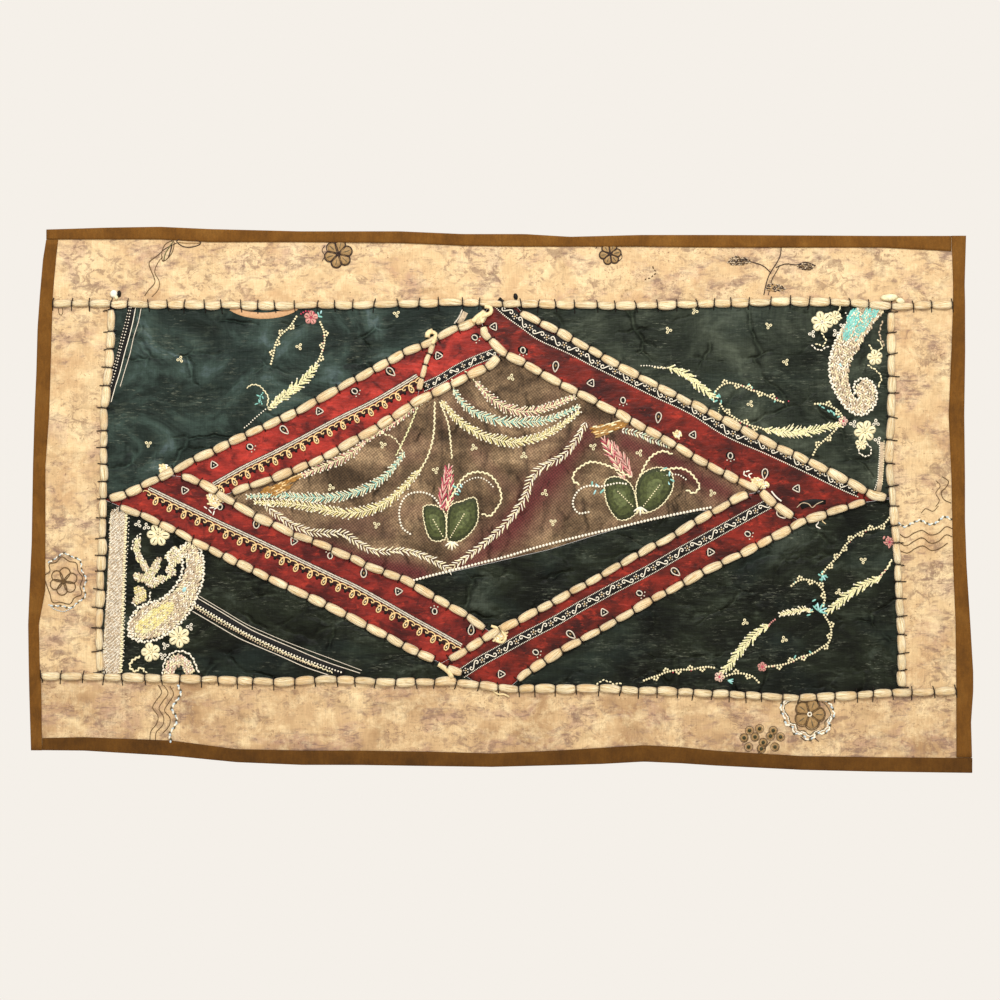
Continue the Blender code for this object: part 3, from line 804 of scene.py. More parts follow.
def binding_strip(side):
    """One strip of binding, folded over the edge from end to end."""
    rows = np.array(BINDINGS[side], float)
    count = round(np.ptp(rows[:, 0]) / BINDING_STEP)
    along = np.linspace(rows[0, 0], rows[-1, 0], count + 1)
    outer, inner = (np.interp(along, rows[:, 0], rows[:, column]) for column in (1, 2))
    points, faces = [], []
    for place, (at, out, within) in enumerate(zip(along, outer, inner)):
        outside, inside = folded_section(abs(within - out))
        loop = outside + inside[::-1]
        towards = 1 if within > out else -1
        for inwards, forward in loop:
            edge = out + towards * inwards
            across, down = (at, edge) if side in ("top", "bottom") else (edge, at)
            front = forward / BINDING_FRONT
            lift = sum(h * math.sin(at / w + p + inwards / 9) for h, w, p in BINDING_WAVES)
            for where, start, depth, spread in BINDING_JOINS:
                if where == side:
                    lift += depth * math.exp(-(((at - start) / spread) ** 2))
            hem = HEM_STITCHES * math.sin(at / HEM_PITCH) * (inwards / abs(within - out)) ** 3
            points.append((across, down, forward + (lift + hem) * front**2 + swell(across, down)))
        size = len(loop)
        if place:
            for corner in range(size):
                after = (corner + 1) % size
                low, high = (place - 1) * size, place * size
                faces.append((low + corner, low + after, high + after, high + corner))
    half = size // 2
    for start in (0, count * size):
        for corner in range(half - 1):
            last = start + size - 1 - corner
            cap = (start + corner, start + corner + 1, last - 1, last)
            faces.append(cap if start else cap[::-1])
    points = np.array(points)
    piece = mesh_piece("cotton_binding_" + side, in_place(*points.T), faces)
    outward_faces(piece)
    leg = float(np.mean(np.abs(inner - outer)))
    return piece, (2 * leg + BINDING_FRONT, float(np.ptp(rows[:, 0])))


def puff_lengths(length, pitch):
    """The lengths of a braid's puffs between its stitches."""
    count = max(1, round(length / pitch))
    steps = [1 + random.uniform(-STITCH_UNEVENNESS, STITCH_UNEVENNESS) for _ in range(count)]
    return [step * length / sum(steps) for step in steps]


def tube_faces(rings, size):
    """The faces of a closed tube from its rings of points, with its two ends."""
    faces = [tuple(range(size)), tuple(range((rings - 1) * size, rings * size))[::-1]]
    walls = []
    for ring in range(rings - 1):
        for place in range(size):
            after = (place + 1) % size
            low, high = ring * size, (ring + 1) * size
            walls.append((low + place, high + place, high + after, low + after))
    return walls + faces


def place_on(route, distance):
    """The place at a distance along a route, with the heading there."""
    for start, end in zip(route, route[1:]):
        length = math.dist(start, end)
        if distance <= length or end == route[-1]:
            share = distance / length
            heading = math.atan2(end[1] - start[1], end[0] - start[0])
            return [a + (b - a) * share for a, b in zip(start, end)], heading
        distance -= length


# The section of a full puff, from its left edge over its crown. Columns: share of half the
# width, share of the height
CROWN = [
    (math.copysign(abs(math.cos(a)) ** 0.72, math.cos(a)), math.sin(a) ** 0.85)
    for a in np.linspace(0.0, math.pi, 15)[::-1]
]
# How far a puff is drawn in at its ends, and how bluntly
PINCH = 0.55
BLUNTNESS = 3.0
# How unequal the puffs are: shares of the full width and height, bend and slant in mm, twist
PUFF_GIRTHS = (0.78, 1.08)
PUFF_HEIGHTS = (0.84, 1.0)
PUFF_BEND = 0.6
PUFF_SLANT = 1.3
PUFF_TWIST = 0.25
# The strands of a puff: how deep the grooves between them are, as a share of the height, how
# close the grooves are and how far they turn round it
STRAND_DEPTH = 0.06
STRAND_WAVES = 13
STRAND_TURN = 20
# How strongly painted shade, in brown, darkens the yarn where it turns under at its sides and is drawn in
# at its stitches
EDGE_SHADE = 0.6


def braid_piece(name, route, lengths, start, girth, rng):
    """A padded braid of yarn, full between its stitches and drawn in under them. The route's
    stations are rings of one closed mesh with a map of its strands."""
    points, rounds, edges, stitches = [], [], [], []
    distance = start
    for number, length in enumerate(lengths):
        fat = girth * rng.uniform(*PUFF_GIRTHS)
        high = girth * rng.uniform(*PUFF_HEIGHTS)
        bend = rng.uniform(-PUFF_BEND, PUFF_BEND)
        slant = rng.uniform(-PUFF_SLANT, PUFF_SLANT) * girth
        twist = rng.uniform(-PUFF_TWIST, PUFF_TWIST)
        shift = rng.uniform(0, 40)
        end_ring = number == len(lengths) - 1
        for step in range(RINGS_IN_A_PUFF + end_ring):
            share = step / RINGS_IN_A_PUFF
            full = PINCH + (1 - PINCH) * (1 - abs(2 * share - 1) ** BLUNTNESS) ** 0.75
            (across, down), heading = place_on(route, distance + share * length)
            side = (-math.sin(heading), math.cos(heading))
            sway = bend * math.sin(math.pi * share) + slant * (share - 0.5)
            for out, up in CROWN:
                reach = out * BRAID_HALF_WIDTH * fat * full + sway
                turned = out * STRAND_WAVES + twist * share * STRAND_TURN + shift
                strand = 1 + STRAND_DEPTH * math.sin(turned)
                x, d = across + side[0] * reach, down + side[1] * reach
                lift = BRAID_HEIGHT * high * full * up * strand
                points.append((x, d, BRAID_BACK + lift))
                along = number * 50 + share * length + shift
                rounds.append((out * 6 + twist * share * length, along))
                # Painted shade, in brown, where the puff turns under at its sides and is drawn in at its
                # ends
                ends = abs(2 * share - 1) ** 9
                edges.append(min(1, EDGE_SHADE * (max(abs(out) - 0.55, 0) * 1.6 + ends * 0.9)))
        stitches.append(distance)
        distance += length
    stitches.append(distance)
    faces = tube_faces(len(points) // len(CROWN), len(CROWN))
    shape = np.array(points)
    shape[:, 2] += swell(shape[:, 0], shape[:, 1])
    piece = mesh_piece(name, in_place(*shape.T), faces)
    outward_faces(piece)
    strands = piece.data.uv_layers.new(name="strands")
    for loop in piece.data.loops:
        strands.data[loop.index].uv = [value * MM for value in rounds[loop.vertex_index]]
    # The edge mark holds the painted shade of the yarn
    shade = piece.data.attributes.new("edge", "FLOAT", "POINT")
    shade.data.foreach_set("value", edges)
    return piece, stitches


def outward_faces(piece):
    """Turns a closed piece's faces outwards."""
    shape = bmesh.new()
    shape.from_mesh(piece.data)
    bmesh.ops.recalc_face_normals(shape, faces=shape.faces)
    shape.to_mesh(piece.data)
    shape.free()


THREAD_SIDES = 6


def tube(line, radius):
    """The points and faces of a round thread through points given as across, down, forward."""
    line = np.asarray(line, float)
    ahead = np.gradient(line, axis=0)
    ahead /= np.linalg.norm(ahead, axis=1, keepdims=True)
    up = np.array([0.0, 0.0, 1.0])
    side = np.cross(ahead, up)
    weak = np.linalg.norm(side, axis=1) < 1e-6
    side[weak] = [1, 0, 0]
    side /= np.linalg.norm(side, axis=1, keepdims=True)
    rise = np.cross(side, ahead)
    turns = np.linspace(0, 2 * math.pi, THREAD_SIDES, endpoint=False)
    rings = [line + radius * (side * math.cos(t) + rise * math.sin(t)) for t in turns]
    return np.stack(rings, axis=1).reshape(-1, 3), tube_faces(len(line), THREAD_SIDES)


# The stitches over a braid: how far they lean, in mm, how unequal they reach past it, and how
# much wider and higher they are than the braid is where it is drawn in
STITCH_LEAN = 1.6
STITCH_REACH = (0.5, 1.5)
OVER_PINCH = (0.12, 0.06)


def stitch_over(route, distance, reach_left, reach_right, girth, radius, rng):
    """The line of one dark stitch over a braid, from cloth to cloth."""
    (across, down), heading = place_on(route, distance)
    side = np.array([math.sin(heading), -math.cos(heading)])
    ahead = np.array([math.cos(heading), math.sin(heading)])
    lean = rng.uniform(-STITCH_LEAN, STITCH_LEAN)
    narrow = girth * BRAID_HALF_WIDTH * (PINCH + OVER_PINCH[0])
    crown = girth * BRAID_HEIGHT * (PINCH + OVER_PINCH[1])
    left = girth * BRAID_HALF_WIDTH + reach_left * rng.uniform(*STITCH_REACH)
    right = girth * BRAID_HALF_WIDTH + reach_right * rng.uniform(*STITCH_REACH)
    # Columns: aside, up, share of the lean
    rows = [
        (left, -0.5, 0.5), (left - 0.9, 0.35, 0.45), (narrow + 0.7, 0.6, 0.3),
        (narrow, crown * 0.62, 0.2), (narrow * 0.5, crown + 0.25, 0.1), (0.0, crown + 0.4, 0.0),
        (-narrow * 0.5, crown + 0.25, -0.1), (-narrow, crown * 0.62, -0.2),
        (-narrow - 0.7, 0.6, -0.3), (0.9 - right, 0.35, -0.45), (-right, -0.5, -0.5),
    ]
    line = []
    for out, up, along in rows:
        x, d = np.array([across, down]) + side * out + ahead * along * lean * 2
        line.append((x, d, BRAID_BACK - 0.3 + radius + up + float(swell(x, d))))
    return line


def braid_stitches(name, route, stitches, reach_left, reach_right, girth, radius, rng):
    """The dark stitches over one braid, as one piece."""
    points, faces = [], []
    for distance in stitches:
        line = stitch_over(route, distance, reach_left, reach_right, girth, radius, rng)
        made, sides = tube(line, radius)
        start = len(points)
        points.extend(made)
        faces.extend([tuple(corner + start for corner in side) for side in sides])
    piece = mesh_piece(name, in_place(*np.array(points).T), faces)
    outward_faces(piece)
    return piece


# Threads and beads of the needlework. Columns: colour, roughness, sheen, lighter and darker
THREADS = {
    "white bead": ("#efe7d3", 0.35, 0.0, 0.12),
    "cream thread": ("#eadfb6", 0.6, 0.1, 0.2),
    "pale green thread": ("#e0dba8", 0.6, 0.1, 0.22),
    "yellow thread": ("#e0d38c", 0.6, 0.1, 0.2),
    "turquoise thread": ("#84bfb3", 0.55, 0.1, 0.25),
    "pale blue thread": ("#a6d3d4", 0.55, 0.1, 0.2),
    "pink thread": ("#cc8d84", 0.6, 0.1, 0.25),
    "rose bead": ("#b8445a", 0.35, 0.0, 0.2),
    "gold thread": ("#e6c48a", 0.42, 0.1, 0.2),
    "pale pink thread": ("#dcb9a8", 0.6, 0.1, 0.2),
    "pale turquoise thread": ("#c0d2bb", 0.6, 0.1, 0.2),
    "silver cord": ("#d6cbb8", 0.45, 0.1, 0.2),
    "black silk band": ("#0b0807", 0.55, 0.0, 0.2),
    "maroon thread": ("#2a0b0c", 0.6, 0.0, 0.2),
    "brown outline thread": ("#5f4728", 0.65, 0.1, 0.2),
    "dark brown thread": ("#33221a", 0.65, 0.1, 0.2),
    "olive thread": ("#63603a", 0.6, 0.1, 0.25),
    "tan thread": ("#9a7b50", 0.6, 0.1, 0.25),
    "blue outline thread": ("#bccacf", 0.55, 0.1, 0.2),
    "deep green bead": ("#36351f", 0.3, 0.0, 0.2),
    # Four tones of one leaf silk, from painted shade at a leaf's rim to painted light at its heart
    "rim-shaded leaf silk": ("#262914", 0.6, 0.1, 0.4),
    "shaded leaf silk": ("#32371b", 0.6, 0.1, 0.45),
    "half-lit leaf silk": ("#424825", 0.6, 0.1, 0.5),
    "crown-lit leaf silk": ("#575e38", 0.6, 0.1, 0.5),
    "ochre silk": ("#a27436", 0.55, 0.1, 0.2),
    "peach silk": ("#c49a70", 0.55, 0.1, 0.15),
    "turquoise sequin": ("#72c2b8", 0.25, 0.0, 0.25),
    "grey lace": ("#baa68a", 0.7, 0.1, 0.32),
    "shadow thread": ("#5d5440", 0.7, 0.0, 0.3),
    "cream yarn end": ("#e6d09e", 0.75, 0.2, 0.3),
    "frayed white end": ("#f1eadb", 0.75, 0.2, 0.2),
}
# How much wider a stitch lies than its thread, once it is pulled flat
SPREAD_FLAT = 1.4


def thread(name):
    """The finish of one thread, made the first time that it is used."""
    made = bpy.data.materials.get(name)
    if made is None:
        colour, roughness, sheen, vary = THREADS[name]
        made = thread_finish(name, colour, roughness, sheen, vary)
    return made


def read_shape(piece):
    """The points and faces of a modelled shape as across, down and forward, and removes it."""
    shape = np.array([vert.co for vert in piece.data.vertices])[:, [0, 2, 1]] * [1, -1, -1]
    faces = np.array([face.vertices[:] for face in piece.data.polygons if len(face.vertices) == 3])
    bpy.data.objects.remove(piece, do_unlink=True)
    return shape, faces


def model_bead():
    """A seed bead of half a unit, as a low ball."""
    bpy.ops.object.select_all(action="DESELECT")
    bpy.ops.mesh.primitive_ico_sphere_add(subdivisions=1, radius=0.5, location=(0, 0, 0))
    return read_shape(bpy.context.object)


def model_stitch():
    """One satin stitch a unit long, wide and high: a low bar with drawn-in ends."""
    bpy.ops.object.select_all(action="DESELECT")
    bpy.ops.mesh.primitive_cylinder_add(
        vertices=5, radius=0.5, depth=0.5, location=(0, 0, 0), rotation=(0, math.radians(90), 0),
    )
    bar = bpy.context.object
    bpy.ops.object.transform_apply(location=False, rotation=True, scale=False)
    bpy.ops.object.mode_set(mode="EDIT")
    for end in (-1, 1):
        shape = bmesh.from_edit_mesh(bar.data)
        for face in shape.faces:
            face.select_set(face.normal.x * end > 0.9)
        bmesh.update_edit_mesh(bar.data)
        bpy.ops.mesh.extrude_region_move(TRANSFORM_OT_translate={"value": (end * 0.25, 0, 0)})
        bpy.ops.transform.resize(value=(1, 0.45, 0.45))
    bpy.ops.mesh.select_all(action="SELECT")
    bpy.ops.mesh.quads_convert_to_tris()
    bpy.ops.object.mode_set(mode="OBJECT")
    return read_shape(bar)


class Needlework:
    """Gathers the small pieces of one area of needlework and the threads that they are in."""

    def __init__(self, seed):
        self.rng = random.Random(seed)
        self.points, self.faces, self.used, self.names = [], [], [], []
        self.count = 0

    def lay(self, names, points, faces):
        """Adds a closed shape in one thread, or in one for each face. Columns of its points:
        across, down, forward"""
        if isinstance(names, str):
            names = [names] * len(faces)
        self.names.extend(name for name in dict.fromkeys(names) if name not in self.names)
        self.points.append(np.asarray(points, float))
        self.faces.extend([tuple(int(corner) + self.count for corner in face) for face in faces])
        self.used.extend([self.names.index(name) for name in names])
        self.count += len(points)

    def repeat(self, name, model, places, headings, sizes, lift=0.0):
        """Adds copies of a modelled shape. Columns of the sizes: along, across, up"""
        shape, faces = model
        places = np.asarray(places, float).reshape(-1, 2)
        headings = np.broadcast_to(np.asarray(headings, float), len(places))
        sizes = np.broadcast_to(np.asarray(sizes, float), (len(places), 3))
        cos, sin = np.cos(headings)[:, None], np.sin(headings)[:, None]
        run = shape[None, :, 0] * sizes[:, None, 0]
        side = shape[None, :, 1] * sizes[:, None, 1]
        up = (shape[None, :, 2] + 0.3) * sizes[:, None, 2] + lift
        across = places[:, :1] + run * cos - side * sin
        down = places[:, 1:] + run * sin + side * cos
        forward = on_cloth(places[:, 0], places[:, 1])[:, None] + up
        points = np.stack([across, down, forward], axis=-1).reshape(-1, 3)
        steps = np.arange(len(places))[:, None, None] * len(shape)
        self.lay(name, points, (faces[None] + steps).reshape(-1, faces.shape[1]))

    def finish(self, name):
        """Makes the gathered pieces one object."""
        points = np.vstack(self.points)
        piece = mesh_piece(name, in_place(*points.T), self.faces)
        for used in self.names:
            piece.data.materials.append(thread(used))
        piece.data.polygons.foreach_set("material_index", self.used)
        outward_faces(piece)
        return finish_piece(piece)


def beads(work, name, path, size, pitch, closed=False, lift=0.0):
    """A row of seed beads along a path."""
    places, headings = steps_along(path, pitch, closed)
    work.repeat(name, BEAD, places, headings, (size, size, size * 0.8), lift)


def stitches(work, names, places, headings, length, width, lift=0.0):
    """Single stitches, uneven as hand stitches are, in one thread or in several by turns."""
    places = np.asarray(places, float).reshape(-1, 2)
    headings = np.broadcast_to(np.asarray(headings, float), len(places))
    length = np.broadcast_to(np.asarray(length, float), len(places))
    names = [names] if isinstance(names, str) else names
    uneven = np.array([[work.rng.uniform(0.85, 1.15), work.rng.uniform(0.85, 1.15)] for _ in places])
    for index, name in enumerate(names):
        one = slice(index, None, len(names))
        if len(places[one]):
            wide = width * SPREAD_FLAT * uneven[one, 1]
            sizes = np.stack([length[one] * uneven[one, 0], wide, wide * 0.7], 1)
            work.repeat(name, STITCH, places[one], headings[one], sizes, lift)


def cord(work, name, path, radius, pitch=2.2, closed=False, lift=0.0):
    """A couched cord along a path."""
    places, _ = steps_along(path, pitch, closed)
    if closed:
        places = np.vstack([places, places[:1]])
    forward = on_cloth(*places.T) + lift + radius * 0.6
    work.lay(name, *tube(np.column_stack([places, forward]), radius))


def chain(work, names, path, length, width, pitch=3.7, spread=0.35):
    """Stitches laid left and right of a path in turn, as in a leafy chain."""
    places, headings = steps_along(path, pitch)
    turn = np.where(np.arange(len(places)) % 2, spread, -spread)
    aside = np.stack([-np.sin(headings), np.cos(headings)], 1) * (np.sign(turn) * width * 0.2)[:, None]
    stitches(work, names, places + aside, headings + turn, length, width)


# A vine's beads and how far apart they and its buds are. Columns of a bud: along, aside
VINE_BEAD = 2.8
VINE_PITCH = 3.1
BUD_GAP = 13.0
VINE_BUDS = [(-2.1, 2.4), (0.0, 4.0), (2.1, 2.4)]


def vine(work, name, path):
    """A beaded line with buds of three beads on its left and right in turn."""
    beads(work, name, path, VINE_BEAD, VINE_PITCH)
    places, headings = steps_along(path, BUD_GAP)
    for number, (place, heading) in enumerate(zip(places[1:-1], headings[1:-1])):
        side = 1 if number % 2 else -1
        for along, aside in VINE_BUDS:
            across = place[0] + along * math.cos(heading) - side * aside * math.sin(heading)
            down = place[1] + along * math.sin(heading) + side * aside * math.cos(heading)
            sizes = (VINE_BEAD, VINE_BEAD, VINE_BEAD * 0.9)
            work.repeat(name, BEAD, [(across, down)], 0, sizes)


def fern(work, names, path, reach, spread, pitch, width, stem=None, taper=0.6):
    """Two rows of open stitches that slant from a stem, longest near its middle, with a bead
    at each second tip where there is a stem."""
    places, headings = steps_along(path, pitch)
    share = np.linspace(0, 1, len(places))
    length = reach * (taper + (1 - taper) * np.sin(math.pi * np.clip(share, 0.05, 1) ** 0.8))
    for side in (-1, 1):
        turned = headings + side * spread + [work.rng.uniform(-0.22, 0.22) for _ in places]
        middle = places + np.stack([np.cos(turned), np.sin(turned)], 1) * length[:, None] * 0.55
        stitches(work, names, middle, turned, length, width)
        tips = places + np.stack([np.cos(turned), np.sin(turned)], 1) * length[:, None] * 1.05
        if stem:
            work.repeat("white bead", BEAD, tips[::2], 0, (2.2, 2.2, 1.7))
    if stem:
        chain(work, stem, path, 2.8, 1.1, 2.6, 0.2)


def spray(work, path):
    """A pale green fern on a cream stem, as on the dark silk."""
    fern(work, "pale green thread", path, 8.6, 0.58, 3.7, 1.4, "cream thread")


def garland(work, names, path, stem, reach=7.4):
    """A close feathered garland of the net, thin at its ends."""
    fern(work, names, path, reach, 0.75, 2.5, 0.9, stem, 0.4)


def bold_chain(work, path):
    """The heavy beaded edge of a paisley."""
    chain(work, "white bead", path, 3.6, 1.9, 3.3, 0.8)


def fan(work, names, place, heading, length, count, opening, width):
    """Stitches that open from one place like a fan."""
    turned = np.radians(heading + np.linspace(-opening / 2, opening / 2, count))
    middle = np.array(place) + np.stack([np.cos(turned), np.sin(turned)], 1) * length * 0.55
    stitches(work, names, middle, turned, length, width)


def inside(places, outline):
    """Which places are inside a closed outline."""
    shape = np.asarray(outline, float)
    found = np.zeros(len(places), bool)
    for (x0, y0), (x1, y1) in zip(shape, np.roll(shape, -1, axis=0)):
        if y0 != y1:
            crossed = (places[:, 1] < y0) != (places[:, 1] < y1)
            found ^= crossed & (places[:, 0] < x0 + (places[:, 1] - y0) * (x1 - x0) / (y1 - y0))
    return found


def fill(work, names, outline, heading, length, width, gap, swirl=0.35, grow=0.0,
         pad="grey lace"):
    """Fills a shape, grown by a margin, with rows of stitches over a flat padding."""
    shape, headings = steps_along(outline, 2.0, True)
    after = np.roll(shape, -1, axis=0)
    turned_right = np.sum(shape[:, 0] * after[:, 1] - shape[:, 1] * after[:, 0]) > 0
    outwards = np.stack([np.sin(headings), -np.cos(headings)], 1) * (1 if turned_right else -1)
    shape = shape + outwards * grow
    low, high = shape.min(0), shape.max(0)
    turn = math.radians(heading)
    reach = np.hypot(*(high - low)) / 2
    ahead, away = (math.cos(turn), math.sin(turn)), (-math.sin(turn), math.cos(turn))
    layers = [(names, length, width, swirl, 0.25)]
    if pad:
        layers.insert(0, ([pad], length * 1.3, width * 1.5, 0.1, -0.3))
    for used, long, wide, loose, lift in layers:
        places = []
        for row, aside in enumerate(np.arange(-reach, reach, wide * gap * 1.3)):
            for run in np.arange(-reach + (row % 2) * long / 2, reach, long * 0.92):
                place = (low + high) / 2 + np.multiply(run, ahead) + np.multiply(aside, away)
                places.append(place + [work.rng.uniform(-0.3, 0.3), work.rng.uniform(-0.3, 0.3)])
        places = np.array(places)
        places = places[inside(places, shape)]
        picked = np.array([work.rng.randrange(len(used)) for _ in places])
        turned = np.array([turn + work.rng.uniform(-loose, loose) for _ in places])
        for index, name in enumerate(used):
            stitches(work, name, places[picked == index], turned[picked == index], long, wide, lift)


def tuft(work, outline, heading, length, width):
    """A frayed knot of the yarn."""
    names = ["frayed white end", "cream yarn end"]
    fill(work, names, outline, heading, length, width, 0.9, 1.4, 0.0, "cream yarn end")


def ring(place, width, height, heading=0.0, count=8, point=0.0):
    """The outline of an oval, drawn out to a point at its start where that is asked for."""
    turn = math.radians(heading)
    rows = []
    for angle in np.linspace(0, 2 * math.pi, count, endpoint=False):
        run = math.cos(angle) * height * (1 + point * max(0, math.cos(angle)) ** 3)
        side = math.sin(angle) * width * (1 - point * 0.5 * max(0, math.cos(angle)))
        rows.append((place[0] + run * math.cos(turn) - side * math.sin(turn),
                     place[1] + run * math.sin(turn) + side * math.cos(turn)))
    return rows


# How far a petal is drawn out towards its flower's heart
PETAL_POINT = 0.55


def flower(work, place, radius, petals, outline, filling, heart="dark brown thread"):
    """A flower of padded petals round a heart, each with a vein or a corded edge."""
    start = work.rng.uniform(0, 360)
    for number in range(petals):
        turn = start + number * 360 / petals
        reach = radius * 0.62
        middle = (place[0] + reach * math.cos(math.radians(turn)),
                  place[1] + reach * math.sin(math.radians(turn)))
        wide, long = radius * 2.35 / petals, radius * 0.4
        if filling:
            disc(work, filling, middle, wide, long, turn + 180, 1.0, 10, PETAL_POINT)
            stitches(work, "shadow thread", [middle], math.radians(turn), long * 1.1, 0.8, 0.9)
        if not filling or "brown" in outline:
            edge = ring(middle, wide, long, turn + 180, 10, PETAL_POINT)
            cord(work, outline, edge, 0.55, 2.2, True, 0.2)
    beads(work, heart, ring(place, radius * 0.12, radius * 0.12), 1.9, 1.5, True, 0.4)


def white_flower(work, place, radius, petals):
    """A beaded white flower with a cream heart."""
    flower(work, place, radius, petals, "white bead", "cream thread", "cream thread")


def sprig(work, name, place, size):
    """A tiny scattered trefoil of looped stitches."""
    start = work.rng.uniform(0, 360)
    for number in range(3):
        turn = math.radians(start + number * 360 / 3)
        middle = (place[0] + size * 0.5 * math.cos(turn), place[1] + size * 0.5 * math.sin(turn))
        cord(work, name, ring(middle, size * 0.24, size * 0.34, math.degrees(turn), 6), 0.55, 1.5, True)


def buti(work, place, number, heading):
    """One small motif of the silk strips: a triangle, a bud or a drop."""
    kind = number % 3
    # A black disc under the motif: painted shadow round it
    disc(work, "black silk band", place, 5.0, 6.2, heading, 0.2)
    if kind == 0:
        corners = [np.array(corner) for corner in ring(place, 5.4, 5.4, heading - 90, 3)]
        sides = [(a * 5 + b) / 6 for a in corners for b in corners if a is not b]
        sides.sort(key=lambda at: math.atan2(at[1] - place[1], at[0] - place[0]))
        cord(work, "silver cord", sides, 0.65, 1.6, True, 0.2)
        disc(work, "silver cord", place, 1.0, 1.0, 0, 0.9, 6)
    elif kind == 1:
        cord(work, "silver cord", ring(place, 2.6, 3.4, heading + 60, 8), 0.65, 2.0, True, 0.2)
        for opening in (-40, 0, 40):
            turn = math.radians(heading + 60 + opening)
            tip = (place[0] + 6.0 * math.cos(turn), place[1] + 6.0 * math.sin(turn))
            work.repeat("silver cord", BEAD, [tip], 0, (1.8, 1.8, 1.6), 0.2)
    else:
        cord(work, "silver cord", ring(place, 3.2, 4.8, heading + 70, 9, 0.5), 0.65, 2.1, True, 0.2)
        disc(work, "tan thread", place, 1.2, 2.0, heading + 70, 0.9, 6)


def disc(work, name, place, width, length, heading=0.0, height=0.35, rounds=8, point=0.0):
    """A flat low disc, such as a sequin, a petal or a filled heart."""
    rim = np.array(ring(place, width, length, heading, rounds, point))
    inner = (rim - place) * 0.65 + place
    base = float(on_cloth(*np.array(place, float)))
    points = [(x, d, base - 0.2) for x, d in rim] + [(x, d, base + height) for x, d in inner]
    points.append((*place, base + height * 1.15))
    faces = [tuple(range(rounds))[::-1]]
    for corner in range(rounds):
        after = (corner + 1) % rounds
        faces.append((corner, after, rounds + after, rounds + corner))
        faces.append((rounds + corner, rounds + after, 2 * rounds))
    work.lay(name, points, faces)


# How far apart the stations of a flat band and of a moved path are
BAND_PITCH = 6.0


def ribbon(work, name, path, width, thick):
    """A flat band along a path. Its width may be one value or two, for its start and end."""
    places, headings = steps_along(path, BAND_PITCH)
    first, last = (width, width) if isinstance(width, (int, float)) else width
    half = np.linspace(first, last, len(places)) / 2
    side = np.stack([-np.sin(headings), np.cos(headings)], 1)
    points = []
    for share, up in ((-1.0, 0.0), (-0.9, thick), (0.9, thick), (1.0, 0.0)):
        edge = places + side * (half * share)[:, None]
        points.append(np.column_stack([edge, on_cloth(*edge.T) + up]))
    points = np.stack(points, axis=1).reshape(-1, 3)
    faces = []
    for step in range(len(places) - 1):
        for place in range(4):
            after = (place + 1) % 4
            low, high = step * 4, (step + 1) * 4
            faces.append((low + place, low + after, high + after, high + place))
    faces.append((3, 2, 1, 0))
    last = (len(places) - 1) * 4
    faces.append((last, last + 1, last + 2, last + 3))
    work.lay(name, points, faces)


def offset(path, distance):
    """A path moved sideways, to the right of its run when positive."""
    places, headings = steps_along(path, BAND_PITCH)
    side = np.stack([-np.sin(headings), np.cos(headings)], 1)
    return [tuple(place) for place in places + side * distance]


def rope(work, name, path, width, pitch=1.7):
    """A twisted cord, drawn as slanting strands side by side."""
    places, headings = steps_along(path, pitch)
    stitches(work, name, places, headings + 0.7, width * 1.35, 1.15)


# The gold loops of the trim. Columns: along in quarter pitches, away from the cord in mm
LOOP_TRIM_PITCH = 17.0
LOOP = [(-1, 6.4), (-0.95, 4.4), (0, 3.3), (0.95, 4.4), (1, 6.4), (0.55, 7.4), (0.3, 6.0)]


def loop_trim(work, path, side):
    """A twisted cord with a row of gold loops and drops hanging from one side of it."""
    ribbon(work, "black silk band", path, 5.2, 0.3)
    rope(work, "silver cord", offset(path, -side * 1.1), 1.5)
    rope(work, "silver cord", offset(path, side * 1.1), 1.5)
    ribbon(work, "maroon thread", offset(path, side * 6.2), 6.0, 0.3)
    places, headings = steps_along(path, LOOP_TRIM_PITCH / 2)
    for number, ((across, down), heading) in enumerate(zip(places, headings)):
        ahead = np.array([math.cos(heading), math.sin(heading)])
        away = np.array([-math.sin(heading), math.cos(heading)]) * side
        at = np.array([across, down])
        step = LOOP_TRIM_PITCH / 4
        loop = [tuple(at + ahead * step * along + away * out) for along, out in LOOP]
        cord(work, "gold thread", loop, 0.65, 2.0, lift=0.3)
        turn = math.degrees(math.atan2(away[1], away[0]))
        drop = at + away * 10.0 + ahead * step
        if number % 2:
            disc(work, "maroon thread", tuple(drop), 3.6, 5.0, turn, 0.2)
            cord(work, "gold thread", ring(drop, 2.3, 3.7, turn + 180, 8, 0.6), 0.8, 2.0, True, 0.3)
            disc(work, "cream thread", tuple(drop), 0.9, 1.8, turn, 1.0, 6)
        else:
            disc(work, "black silk band", tuple(drop - away * 0.6), 2.0, 2.6, turn, 0.5)
            disc(work, "gold thread", tuple(drop - away * 3.6), 0.9, 0.9, turn, 1.1, 6)


SCROLL_PITCH = 10.6
# A scroll that curls in at both ends, in shares of half the band's width. Columns: along, aside
SCROLL = [
    (-0.55, 0.15), (-0.8, -0.1), (-1.1, 0.25), (-0.8, 0.7), (-0.35, 0.4), (0.0, -0.05),
    (0.35, -0.5), (0.8, -0.7), (1.1, -0.25), (0.8, 0.1), (0.55, -0.15),
]


